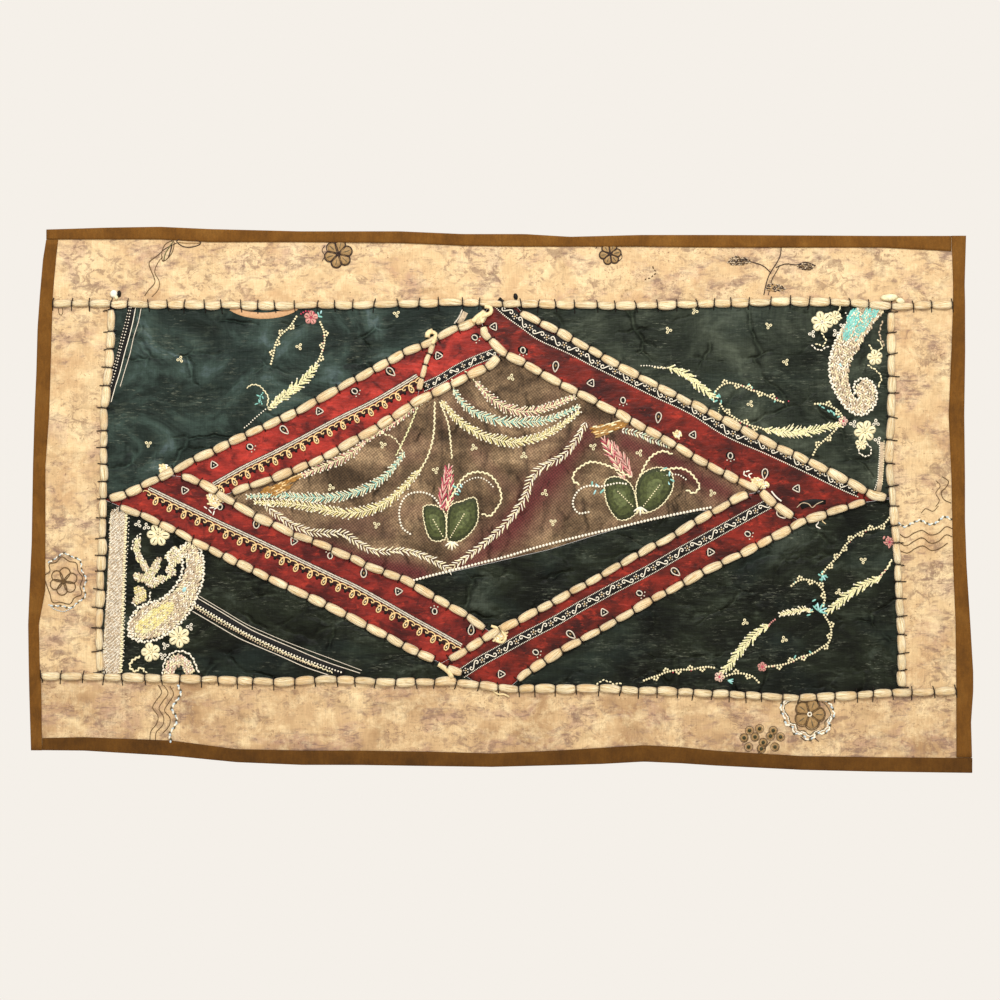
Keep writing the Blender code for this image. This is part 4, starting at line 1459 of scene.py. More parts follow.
def scroll_trim(work, path, width, edges=("white bead", "white bead")):
    """A black band of pale scrolls and small flowers between two dotted cords."""
    ribbon(work, "black silk band", path, width + 4.0, 0.3)
    for side, name in zip((-1, 1), edges):
        if name:
            beads(work, name, offset(path, side * (width / 2 + 1.2)), 1.4, 1.9, lift=0.3)
    places, headings = steps_along(path, SCROLL_PITCH)
    half = width / 2 * 0.95
    for number, (place, heading) in enumerate(zip(places[:-1], headings)):
        ahead = np.array([math.cos(heading), math.sin(heading)])
        aside = np.array([-math.sin(heading), math.cos(heading)])
        middle = place + ahead * SCROLL_PITCH / 2
        if number % 2:
            flip = 1 if number % 4 == 1 else -1
            line = [
                tuple(middle + ahead * a * half * 1.45 + aside * b * half * 1.3 * flip)
                for a, b in SCROLL
            ]
            cord(work, "white bead", line, 0.62, 1.6, lift=0.3)
        else:
            turn = math.degrees(heading)
            beads(work, "silver cord", ring(middle, half * 0.66, half * 0.66, turn, 5), 2.0, 3.0, True, 0.3)
            disc(work, "gold thread", tuple(middle), half * 0.28, half * 0.28, 0, 1.0, 6)


# One green silk in rings from a padded leaf's rim to its heart, painted shade at the rim and painted light
# at the heart, and each ring's share of the leaf's width
LEAF_SHADING_RINGS = [
    ("rim-shaded leaf silk", 1.0), ("shaded leaf silk", 0.92), ("half-lit leaf silk", 0.78),
    ("half-lit leaf silk", 0.62), ("crown-lit leaf silk", 0.44), ("crown-lit leaf silk", 0.2),
]
# How high a leaf's padding and its heart stand, and how far its rings, and its painted light, lean towards
# its tip
LEAF_HEIGHT = 1.7
LEAF_HEART = 1.75
LEAF_LEAN = 0.05


def leaf_blade(work, outline, base, tip):
    """A padded leaf in rings of one green silk with painted shade at its rim and painted light at its
    heart, with a beaded edge and a vein.
    """
    rim, _ = steps_along(outline, 2.6, True)
    base, tip = np.array(base, float), np.array(tip, float)
    heart = rim.mean(0)
    count = len(rim)
    points, faces, silks = [], [tuple(range(count))[::-1]], ["rim-shaded leaf silk"]
    for level, (silk, scale) in enumerate(LEAF_SHADING_RINGS):
        line = heart + (rim - heart) * scale + (tip - base) * LEAF_LEAN * (1 - scale)
        up = LEAF_HEIGHT * (1 - scale**2) ** 0.5 - (0.2 if scale == 1 else 0)
        points.append(np.column_stack([line, on_cloth(*line.T) + up]))
        for corner in range(count):
            after = (corner + 1) % count
            low = level * count
            if level < len(LEAF_SHADING_RINGS) - 1:
                faces.append((low + corner, low + after, low + count + after, low + count + corner))
            else:
                faces.append((low + corner, low + after, low + count))
            silks.append(silk)
    crown = heart + (tip - base) * LEAF_LEAN
    points.append([[*crown, on_cloth(*crown) + LEAF_HEART]])
    work.lay(silks, np.vstack(points), faces)
    edge = [tuple(place) for place in [*rim[::3], rim[0]]]
    chain(work, "cream thread", edge, 2.4, 1.2, 2.4, 0.2)
    vein = [tuple(base + (tip - base) * share) for share in (0.06, 0.4, 0.68)]
    beads(work, "cream thread", vein, 1.7, 2.8, lift=1.3)


def draw(work, rows):
    """Works a table of motifs. Each row names how it is worked and what it needs."""
    for how, *needs in rows:
        TECHNIQUES[how](work, *needs)


def scattered(work, name, places, length, width):
    """Single stitches that lie every way, as in a tuft."""
    stitches(work, name, places, [work.rng.uniform(0, math.pi) for _ in places], length, width)


def sprigs(work, name, size, places):
    """Trefoils scattered over the cloth."""
    for place in places:
        sprig(work, name, place, size)


def butis(work, heading, places):
    """A row of the small motifs of the silk strips, of three kinds by turns."""
    for number, place in enumerate(places):
        buti(work, place, number, heading)


TECHNIQUES = {
    "beads": beads, "vine": vine, "cord": cord, "chain": chain, "bold chain": bold_chain,
    "fern": fern, "spray": spray, "garland": garland, "fan": fan, "fill": fill, "tuft": tuft,
    "flower": flower, "white flower": white_flower, "sprigs": sprigs, "butis": butis,
    "ribbon": ribbon, "rope": rope, "loops": loop_trim, "scrolls": scroll_trim,
    "leaf": leaf_blade, "disc": disc, "stitches": scattered,
}


BEAD = model_bead()
STITCH = model_stitch()

# Threads that are worked together, by turns or mixed
TURQUOISES = ["turquoise thread", "pale blue thread"]
SEQUINS = ["turquoise sequin", "turquoise sequin", "turquoise thread"]
CREAMS = ["white bead", "cream thread"]
PALE_GREENS = ["white bead", "cream thread", "pale green thread"]
BROWNS = ["dark brown thread", "brown outline thread"]
BLUE_GREYS = ["blue outline thread", "white bead", "shadow thread"]
TURQUOISE_GARLAND = ["pale turquoise thread", "cream thread", "turquoise thread", "cream thread"]
YELLOW_GARLAND = ["yellow thread", "cream thread", "pale green thread"]
PINK_GARLAND = ["pale pink thread", "cream thread", "pink thread", "pale green thread"]
# The run of the lace in the lower left corner
LACE = [
    (-430, 307), (-415, 307), (-417, 359), (-419, 425), (-421, 482),
    (-438, 482), (-436, 425), (-432, 359),
]

# Where the unevenness of each area's hand starts
BORDER_SEED, KNOTS_SEED, CORNER_SEED, STRIP_SEED, NET_SEED = 11, 12, 21, 31, 41

# The needlework, area by area. Each row names how it is worked, its thread and its path
BORDER_WORK = [
    ("disc", "white bead", (-427, 66), 5.2, 5.0, 0, 2.6),
    ("disc", "cream thread", (-424, 70), 3.2, 2.6, 0, 2.2),
    ("disc", "black silk band", (-421, 66), 2.4, 4.2, 90, 2.6),
    ("disc", "black silk band", (15, 69), 2.8, 4.2, 80, 2.6),
    ("disc", "cream thread", (426, 70), 4.5, 11.0, -3, 4.2),
    ("disc", "cream thread", (438, 74), 4.0, 6.0, 20, 4.0),
    ("cord", "brown outline thread", [(-393, 68), (-389, 62), (-382, 54), (-383, 47), (-386, 40),
        (-388, 34), (-387, 30), (-378, 23)], 0.5),
    ("cord", "brown outline thread", [(-385, 69), (-378, 61), (-377, 52), (-382, 42), (-378, 31),
        (-373, 25)], 0.4),
    ("cord", "brown outline thread", [(-373, 30), (-374, 20), (-370, 11), (-361, 8), (-362, 18),
        (-366, 25)], 0.5, 2.0, True),
    ("cord", "olive thread", [(-372, 29), (-370, 21), (-365, 13), (-362, 9)], 0.6),
    ("cord", "dark brown thread", [(-367, 26), (-365, 20), (-363, 13)], 0.6),
    ("cord", "dark brown thread", [(-378, 23), (-370, 16), (-358, 10)], 0.45),
    ("cord", "dark brown thread", [(-358, 8), (-350, 5), (-339, 6), (-331, 10), (-339, 14),
        (-350, 14)], 0.55, 2.2, True),
    ("cord", "tan thread", [(-356, 9), (-348, 10), (-340, 10), (-332, 10)], 0.6),
    ("flower", (-180, 22), 15.5, 6, "dark brown thread", "tan thread"),
    ("cord", "dark brown thread", [(-195, 13), (-198, 18), (-195, 24), (-198, 30)], 0.4),
    ("flower", (119, 22), 12, 6, "dark brown thread", "tan thread"),
    ("cord", "dark brown thread", [(103, 16), (108, 10), (116, 12)], 0.4),
    ("cord", "dark brown thread", [(127, 31), (132, 26), (130, 18)], 0.4),
    ("chain", "brown outline thread", [(158, 50), (165, 47), (169, 42), (166, 37)], 2.6, 1.0),
    ("cord", "dark brown thread", [(288, 67), (290, 57), (293, 47), (298, 38), (302, 32), (306, 24),
        (307, 16)], 0.55),
    ("cord", "dark brown thread", [(293, 67), (295, 58), (297, 50), (302, 41), (306, 34)], 0.45),
    ("cord", "dark brown thread", [(296, 43), (287, 35), (275, 31), (263, 28), (248, 31)], 0.55),
    ("fill", BROWNS, [(248, 31), (256, 25), (267, 26), (273, 31), (263, 34), (254, 34)],
        0, 2.8, 1.1, 1.0),
    ("cord", "dark brown thread", [(301, 37), (312, 33), (324, 34), (334, 31), (345, 35)], 0.55),
    ("fill", BROWNS, [(324, 35), (332, 32), (345, 35), (337, 40), (328, 38)], 5, 2.8, 1.1, 1.0),
    ("fill", ["dark brown thread", "tan thread"], [(290, 59), (296, 55), (306, 56), (312, 61),
        (302, 63), (294, 63)], 10, 2.8, 1.1, 1.0),
    ("cord", "dark brown thread", [(307, 16), (311, 11), (317, 10)], 0.4),
    ("cord", "brown outline thread", [(-501, 385), (-503, 376), (-497, 371), (-498, 363), (-490, 361),
        (-484, 355), (-476, 360), (-468, 362), (-466, 371), (-461, 378), (-464, 387), (-462, 396),
        (-470, 400), (-475, 407), (-485, 405), (-494, 405), (-497, 396)], 0.5, 2.4, True),
    ("chain", BLUE_GREYS, [(-498, 361), (-488, 355), (-482, 351), (-473, 355), (-464, 359),
        (-462, 370), (-457, 380), (-460, 389), (-458, 398), (-466, 405), (-474, 411), (-485, 409),
        (-495, 409)], 3.2, 1.3, 2.4),
    ("flower", (-482, 382), 15, 6, "brown outline thread", None, "brown outline thread"),
    ("beads", "blue outline thread", [(-498, 408), (-491, 413), (-481, 415), (-471, 410)], 1.6, 2.2),
    ("cord", "brown outline thread", [(-378, 496), (-374, 504), (-380, 513), (-384, 521), (-378, 530),
        (-380, 539), (-386, 547), (-387, 557)], 0.45),
    ("cord", "brown outline thread", [(-372, 496), (-367, 505), (-373, 514), (-377, 522), (-372, 531),
        (-373, 540), (-380, 548), (-381, 558)], 0.45),
    ("cord", "brown outline thread", [(-365, 497), (-361, 506), (-366, 515), (-371, 524), (-365, 532),
        (-366, 541), (-373, 549)], 0.45),
    ("chain", BLUE_GREYS, [(-356, 497), (-353, 505), (-358, 514), (-363, 522), (-358, 531),
        (-359, 540), (-365, 549), (-364, 558)], 3.8, 1.7, 2.5),
    ("cord", "shadow thread", [(317, 514), (311, 518), (311, 525), (315, 530), (317, 537), (323, 539),
        (326, 546), (332, 546), (338, 551), (343, 547), (350, 546), (355, 542), (355, 536), (361, 530),
        (360, 524), (356, 518), (351, 514)], 0.45, 2.4),
    ("chain", ["blue outline thread", "white bead", "white bead", "shadow thread"], [(314, 512),
        (307, 517), (307, 525), (310, 531), (312, 539), (319, 542), (321, 549), (329, 550), (336, 556),
        (342, 554), (346, 549), (354, 549), (360, 543), (360, 536), (365, 530), (364, 524), (361, 517),
        (354, 512)], 3.6, 1.7, 2.5),
    ("chain", "white bead", [(316, 513), (310, 518), (310, 525), (314, 531), (316, 538), (322, 540),
        (324, 547), (332, 548), (337, 552), (342, 551), (345, 547), (353, 546), (358, 541), (358, 535),
        (362, 529)], 2.4, 1.0, 2.2),
    ("flower", (338, 528), 17, 5, "brown outline thread", "tan thread", "white bead"),
    ("cord", "dark brown thread", [(328, 553), (334, 557), (341, 553), (348, 558)], 0.45),
    ("chain", BLUE_GREYS, [(436, 318), (443, 322), (451, 318), (460, 315), (469, 319), (477, 318),
        (486, 311), (494, 314)], 3.6, 1.6, 2.5),
    ("cord", "brown outline thread", [(436, 329), (444, 334), (453, 329), (462, 326), (471, 331),
        (480, 329), (488, 322), (495, 324)], 0.5),
    ("cord", "brown outline thread", [(436, 338), (444, 343), (453, 338), (462, 334), (471, 340),
        (480, 338), (488, 331), (495, 333)], 0.5),
    ("cord", "brown outline thread", [(437, 348), (446, 351), (454, 346), (463, 343), (472, 348),
        (481, 346), (490, 340)], 0.5),
    ("cord", "brown outline thread", [(484, 267), (491, 272), (488, 279), (483, 284), (486, 292),
        (494, 296)], 0.5),
    ("cord", "brown outline thread", [(477, 271), (482, 277), (477, 285), (481, 293), (477, 300)], 0.4),
    ("cord", "brown outline thread", [(480, 299), (474, 305), (466, 302), (461, 307)], 0.4),
    ("cord", "dark brown thread", [(280, 574), (283, 569), (289, 565), (295, 558)], 0.4),
]
# Knots and frayed ends of the yarn where braids meet
YARN_WORK = [
    ("cord", "cream yarn end", [(-82, 114), (-81, 109), (-76, 107)], 2.9, 2.2, False, 2.2),
    ("cord", "cream yarn end", [(-77, 108), (-73, 110), (-74, 116), (-76, 121)], 2.1, 2.2, False, 2.8),
    ("cord", "cream yarn end", [(-32, 97), (-26, 91), (-20, 87)], 3.0, 2.4, False, 1.4),
    ("cord", "cream yarn end", [(-19, 80), (-13, 81), (-12, 86), (-16, 89), (-23, 92), (-21, 98)],
        2.3, 2.2, False, 2.6),
    ("tuft", [(-324, 289), (-319, 286), (-311, 288), (-309, 295), (-315, 300), (-322, 298)],
        20, 4.0, 1.5),
    ("tuft", [(274, 272), (280, 268), (288, 271), (294, 277), (287, 280), (278, 277)], 30, 4.0, 1.5),
    ("stitches", "frayed white end", [(-319, 301), (-315, 302), (-321, 305), (-317, 307), (-312, 299),
        (-326, 301)], 5.0, 1.0),
    ("stitches", "frayed white end", [(273, 264), (270, 261), (266, 263), (272, 267), (268, 266)],
        4.5, 1.2),
    ("cord", "frayed white end", [(296, 283), (301, 289), (307, 294)], 0.9, 2.0, False, 0.6),
    ("tuft", [(188, 219), (193, 216), (197, 219), (196, 224), (190, 224)], 60, 3.4, 1.3),
    ("cord", "cream yarn end", [(-12, 431), (-6, 433), (1, 438), (4, 444), (0, 449), (-7, 447)],
        1.5, 2.2, False, 1.2),
    ("tuft", [(-11, 436), (-3, 432), (4, 438), (3, 446), (-6, 449), (-11, 443)], -30, 4.0, 1.4),
    ("cord", "cream yarn end", [(-10, 502), (-4, 506), (2, 506), (8, 509)], 1.0, 2.0, False, 0.4),
    ("cord", "cream yarn end", [(-70, 473), (-65, 476), (-58, 482), (-55, 488)], 2.6, 2.4, False, 0.8),
    ("tuft", [(-376, 255), (-371, 253), (-366, 258), (-370, 264), (-375, 263)], 40, 3.6, 1.4),
    ("cord", "brown outline thread", [(-488, 82), (-487, 88), (-484, 89), (-483, 84), (-485, 79)], 0.4),
    ("cord", "frayed white end", [(344, 311), (348, 317), (345, 321), (350, 324)], 0.7),
    ("cord", "cream yarn end", [(356, 309), (352, 315), (356, 319)], 0.6),
]
RINGED_DOTS = [
    (272, 546), (283, 544), (298, 546), (266, 554), (278, 553), (287, 559), (295, 552),
    (306, 553), (271, 564), (285, 566), (300, 564),
]

UPPER_LEFT_WORK = [
    ("ribbon", "black silk band", [(-407, 81), (-410, 97), (-415, 112), (-419, 130), (-425, 150),
        (-429, 166), (-432, 180)], 8.5, 0.3),
    ("beads", "silver cord", [(-410, 81), (-414, 97), (-418, 112), (-422, 130), (-428, 150),
        (-432, 166)], 1.7, 3.4, False, 0.3),
    ("beads", "white bead", [(-408, 81), (-411, 97), (-415, 112), (-420, 130), (-425, 150),
        (-430, 167)], 1.7, 3.4, False, 0.3),
    ("cord", "white bead", [(-403, 81), (-406, 97), (-410, 113), (-415, 131), (-420, 151), (-425, 167),
        (-430, 185)], 0.5),
    ("cord", "silver cord", [(-397, 82), (-400, 97), (-405, 113), (-409, 131), (-415, 151),
        (-420, 168)], 0.45),
    ("ribbon", "peach silk", [(-298, 81), (-288, 86), (-275, 89), (-260, 90), (-244, 88), (-232, 84),
        (-226, 80)], 7.0, 0.3),
    ("vine", "cream thread", [(-226, 91), (-233, 102), (-243, 111), (-249, 121), (-251, 131),
        (-254, 143)]),
    ("flower", (-210, 92), 8, 5, "white bead", "pink thread", "rose bead"),
    ("beads", "rose bead", [(-221, 88), (-215, 85), (-207, 87)], 2.4, 3.0),
    ("stitches", TURQUOISES, [(-202, 88), (-199, 86), (-200, 91)], 4.4, 1.5),
    ("vine", "cream thread", [(-200, 97), (-196, 107), (-195, 118), (-198, 130), (-202, 140),
        (-207, 148)]),
    ("beads", "rose bead", [(-196, 112), (-197, 128)], 2.0, 9.0),
    ("spray", [(-255, 191), (-245, 183), (-234, 174), (-223, 165), (-213, 156), (-206, 147)]),
    ("fern", "cream thread", [(-257, 193), (-248, 184), (-238, 176), (-227, 168)], 5.0, 0.9, 3.6, 1.1),
    ("beads", "white bead", [(-260, 193), (-266, 198), (-273, 204), (-278, 209), (-283, 213)], 1.9, 3.2),
    ("chain", "cream thread", [(-258, 188), (-257, 180), (-261, 173), (-267, 167), (-275, 166),
        (-280, 169)], 2.6, 1.1, 2.2),
    ("beads", "turquoise thread", [(-264, 187), (-266, 180), (-263, 175)], 2.0, 2.2),
    ("stitches", "turquoise thread", [(-267, 184), (-270, 187), (-263, 180), (-268, 178)], 4.2, 1.3),
    ("sprigs", "cream thread", 4.6, [(-354, 138), (-223, 124), (-389, 231), (-116, 88)]),
    ("ribbon", "grey lace", [(-40, 86), (-43, 92), (-47, 99)], 6.0, 0.3),
    ("rope", "silver cord", [(-44, 84), (-47, 91), (-52, 98)], 1.6),
]

UPPER_RIGHT_WORK = [
    ("sprigs", "cream thread", 4.6, [(293, 101), (273, 187), (212, 85), (183, 106), (312, 141)]),
    ("beads", "white bead", [(153, 145), (161, 145), (168, 146), (177, 148)], 1.9, 3.0),
    ("chain", "cream thread", [(168, 147), (177, 147), (186, 148)], 3.0, 1.4),
    ("spray", [(184, 147), (194, 151), (204, 156), (213, 164), (223, 172), (232, 179)]),
    ("stitches", "turquoise thread", [(234, 174), (239, 178), (235, 184), (241, 185), (231, 182)],
        4.4, 1.5),
    ("disc", "turquoise sequin", (237, 179), 2.2, 2.6),
    ("vine", "cream thread", [(235, 173), (241, 167), (249, 164), (257, 165), (266, 168), (274, 172),
        (283, 174), (292, 178), (300, 182), (309, 185)]),
    ("beads", "rose bead", [(264, 167), (296, 179), (315, 184)], 2.0, 15.0),
    ("stitches", "turquoise thread", [(271, 166), (275, 169), (300, 184)], 3.8, 1.4),
    ("vine", "cream thread", [(240, 187), (245, 195), (254, 201), (264, 207), (274, 211), (283, 213),
        (290, 216)]),
    ("beads", "rose bead", [(262, 208), (277, 215)], 2.0, 9.0),
    ("beads", "pale green thread", [(239, 191), (237, 198), (230, 200)], 1.6, 2.6),
    ("spray", [(288, 215), (300, 217), (314, 218), (327, 218), (340, 217), (354, 213), (370, 210)]),
    ("fern", "cream thread", [(300, 217), (317, 218), (334, 218)], 10.0, 0.85, 5.2, 1.1),
    ("stitches", "turquoise thread", [(365, 198), (370, 201), (362, 195), (349, 188), (353, 191),
        (359, 195)], 4.0, 1.5),
    ("vine", "cream thread", [(372, 209), (374, 202), (370, 195), (362, 190), (353, 187), (344, 187)]),
    ("flower", (375, 206), 5.5, 5, "pink thread", "pale pink thread", "rose bead"),
    ("vine", "cream thread", [(367, 215), (360, 222), (352, 229), (346, 235), (342, 243)]),
    ("flower", (352, 97), 12.5, 6, "white bead", "cream thread", "white bead"),
    ("white flower", (365, 92), 8, 5),
    ("chain", "cream thread", [(352, 110), (356, 117), (353, 123), (346, 121)], 3.0, 1.3),
    ("chain", "white bead", [(341, 123), (349, 128), (358, 124)], 2.8, 1.2),
    ("chain", "cream thread", [(373, 92), (370, 86), (372, 80)], 3.4, 1.5),
    ("sprigs", "white bead", 5.0, [(341, 110), (367, 109), (375, 102)]),
    ("white flower", (399, 217), 12.5, 6),
    ("white flower", (395, 231), 7, 5),
    ("chain", "white bead", [(400, 229), (406, 237), (403, 244), (395, 243), (392, 238)], 3.0, 1.3),
    ("sprigs", "white bead", 5.2, [(411, 208), (386, 209), (413, 227)]),
    ("fill", ["grey lace", "cream thread", "white bead"], [(391, 84), (382, 95), (375, 106),
        (370, 118), (365, 130), (363, 143), (364, 156), (369, 170), (375, 184), (384, 193), (395, 196),
        (404, 190), (408, 179), (407, 169), (400, 163), (393, 165), (391, 173), (395, 179), (388, 182),
        (382, 173), (378, 160), (380, 146), (385, 134), (392, 122), (399, 109), (408, 97), (417, 86),
        (417, 81), (403, 80)], 80, 3.4, 1.35, 1.15, 0.9, 2.0),
    ("bold chain", [(391, 82), (380, 96), (372, 108), (365, 122), (361, 136), (360, 151), (363, 166),
        (370, 180), (380, 193), (392, 199), (403, 196), (411, 185), (411, 172), (404, 161), (393, 160),
        (387, 166), (388, 175)]),
    ("chain", "cream thread", [(395, 182), (399, 176), (396, 170)], 3.0, 1.4),
    ("fill", SEQUINS, [(383, 86), (394, 84), (392, 94), (386, 106), (380, 118), (375, 112),
        (378, 100)], 118, 6.0, 1.5, 0.85, 0.15, 0.0, "turquoise thread"),
    ("fill", SEQUINS, [(400, 82), (413, 85), (407, 95), (398, 106), (389, 117), (387, 110), (394, 96)],
        122, 6.0, 1.5, 0.85, 0.15, 0.0, "turquoise thread"),
    ("beads", "white bead", [(378, 87), (383, 97), (380, 108), (374, 119)], 2.0, 3.4),
    ("beads", "turquoise sequin", [(400, 87), (396, 96), (391, 106), (384, 114)], 2.4, 4.6),
    ("disc", "pale blue thread", (372, 144), 2.3, 3.4, 60, 1.1),
    ("beads", "rose bead", [(375, 136), (378, 130)], 1.8, 5.0),
    ("chain", "cream thread", [(404, 123), (411, 130), (418, 124), (414, 117)], 3.4, 1.4),
    ("white flower", (410, 136), 9, 5),
    ("chain", "cream thread", [(403, 145), (411, 150), (417, 158), (414, 167)], 3.2, 1.4),
    ("chain", "grey lace", [(418, 97), (415, 110), (420, 122)], 3.4, 1.5),
    ("ribbon", "grey lace", [(418, 229), (418, 243), (417, 257), (416, 271), (414, 283)], 5.5, 0.3),
    ("beads", "white bead", [(415, 228), (415, 243), (414, 257), (413, 271), (409, 283)], 1.7, 2.4),
    ("beads", "cream thread", [(420, 228), (420, 243), (419, 260), (418, 275)], 1.5, 2.8),
]

LOWER_LEFT_WORK = [
    ("ribbon", "grey lace", [(-422, 306), (-422, 331), (-424, 359), (-425, 392), (-427, 425),
        (-429, 458), (-430, 483)], [17.5, 21], 0.35),
    ("fill", ["grey lace", "silver cord"], LACE, 48, 2.6, 1.0, 1.35, 0.3, 0.0, None),
    ("fill", ["silver cord", "white bead"], LACE, -42, 2.6, 1.0, 2.2, 0.3, 0.0, None),
    ("chain", "cream thread", [(-413, 307), (-414, 331), (-415, 359), (-416, 392), (-417, 425),
        (-418, 458), (-419, 482)], 3.6, 1.7, 2.6, 1.2),
    ("beads", "white bead", [(-410, 308), (-411, 337), (-413, 370), (-414, 403), (-415, 436),
        (-416, 469)], 1.6, 4.4),
    ("rope", "cream thread", [(-430, 308), (-431, 342), (-432, 381), (-435, 425), (-438, 463),
        (-439, 482)], 1.4, 2.6),
    ("white flower", (-378, 331), 13, 6),
    ("sprigs", "white bead", 5.0, [(-391, 322), (-367, 323), (-400, 319)]),
    ("fill", PALE_GREENS, [(-405, 345), (-403, 338), (-398, 333), (-397, 342), (-398, 351),
        (-392, 359), (-387, 367), (-381, 359), (-375, 356), (-377, 367), (-382, 377), (-374, 375),
        (-367, 378), (-376, 385), (-385, 389), (-393, 384), (-402, 381), (-405, 374), (-397, 374),
        (-393, 373), (-398, 364), (-403, 355)], 70, 3.2, 1.3, 1.1, 0.9),
    ("chain", "white bead", [(-407, 346), (-405, 337), (-398, 330)], 3.0, 1.3),
    ("fill", ["cream thread", "yellow thread"], [(-405, 391), (-398, 387), (-391, 393), (-392, 402),
        (-399, 407), (-406, 403), (-403, 397)], 30, 3.0, 1.3, 1.1, 0.9),
    ("chain", "white bead", [(-406, 406), (-397, 411), (-388, 405), (-387, 395)], 3.0, 1.3),
    ("fill", ["cream thread", "grey lace", "white bead"], [(-408, 437), (-406, 425), (-398, 415),
        (-386, 409), (-374, 405), (-363, 397), (-354, 388), (-349, 377), (-345, 365), (-348, 353),
        (-352, 346), (-343, 342), (-336, 348), (-332, 360), (-332, 374), (-336, 389), (-341, 404),
        (-350, 418), (-362, 431), (-376, 440), (-391, 443), (-402, 443)], -45, 3.6, 1.4, 1.1, 0.7, 2.0),
    ("bold chain", [(-410, 442), (-410, 429), (-404, 416), (-392, 407), (-378, 403), (-367, 396),
        (-359, 387), (-353, 376), (-351, 364), (-353, 353), (-360, 346), (-366, 350), (-367, 359),
        (-363, 365)]),
    ("bold chain", [(-353, 344), (-343, 339), (-334, 343), (-329, 355), (-328, 370), (-330, 385),
        (-336, 400), (-343, 415), (-354, 428), (-367, 439), (-383, 447), (-398, 448), (-408, 443)]),
    ("fill", PALE_GREENS, [(-367, 350), (-359, 344), (-352, 349), (-352, 359), (-359, 365),
        (-359, 374), (-366, 378), (-370, 370), (-365, 362), (-371, 356)], 40, 3.0, 1.3, 1.15, 0.9),
    ("fill", ["yellow thread", "yellow thread", "pale green thread"], [(-403, 437), (-400, 427),
        (-392, 419), (-380, 411), (-366, 405), (-361, 410), (-370, 425), (-383, 435), (-396, 439)],
        -40, 4.4, 1.7, 0.9, 0.4, 0.0, None),
    ("disc", "pale blue thread", (-349, 391), 3.0, 4.6, -65, 1.4),
    ("disc", "white bead", (-352, 403), 2.0, 2.6, -60, 1.0),
    ("white flower", (-355, 443), 12.5, 6),
    ("white flower", (-386, 460), 11, 5),
    ("sprigs", "white bead", 5.0, [(-370, 453), (-343, 432), (-373, 464)]),
    ("fill", ["white bead", "pale pink thread", "cream thread"], [(-371, 483), (-369, 473),
        (-362, 464), (-352, 463), (-343, 470), (-338, 482), (-348, 484), (-351, 476), (-358, 476),
        (-362, 484)], 90, 3.2, 1.4, 1.1, 0.9),
    ("chain", "white bead", [(-373, 483), (-371, 471), (-363, 461), (-351, 459), (-341, 465),
        (-334, 481)], 3.6, 1.5),
    ("chain", "cream thread", [(-399, 465), (-406, 469), (-409, 476), (-403, 481), (-397, 477),
        (-392, 482)], 3.6, 1.6, 2.4, 0.6),
    ("ribbon", "black silk band", [(-341, 405), (-309, 424), (-277, 441), (-250, 453), (-217, 468),
        (-173, 482)], 11.0, 0.3),
    ("cord", "silver cord", [(-337, 399), (-310, 415), (-285, 430), (-268, 439), (-233, 454),
        (-195, 470), (-156, 483)], 0.5),
    ("cord", "silver cord", [(-333, 398), (-308, 413), (-283, 428), (-264, 437), (-231, 451),
        (-191, 466), (-154, 480)], 0.35),
    ("beads", "white bead", [(-340, 405), (-315, 420), (-287, 436), (-261, 449), (-227, 464),
        (-200, 474), (-177, 482)], 2.3, 3.4),
    ("chain", "cream thread", [(-339, 408), (-315, 422), (-288, 437), (-262, 450), (-230, 465),
        (-202, 476), (-187, 482)], 3.0, 1.2, 2.7, 0.6),
    ("beads", "grey lace", [(-339, 410), (-315, 425), (-288, 439), (-264, 452), (-233, 465),
        (-202, 477)], 2.3, 3.0),
    ("cord", "silver cord", [(-340, 415), (-316, 429), (-292, 443), (-277, 450), (-244, 464),
        (-217, 476), (-191, 485)], 0.5),
]

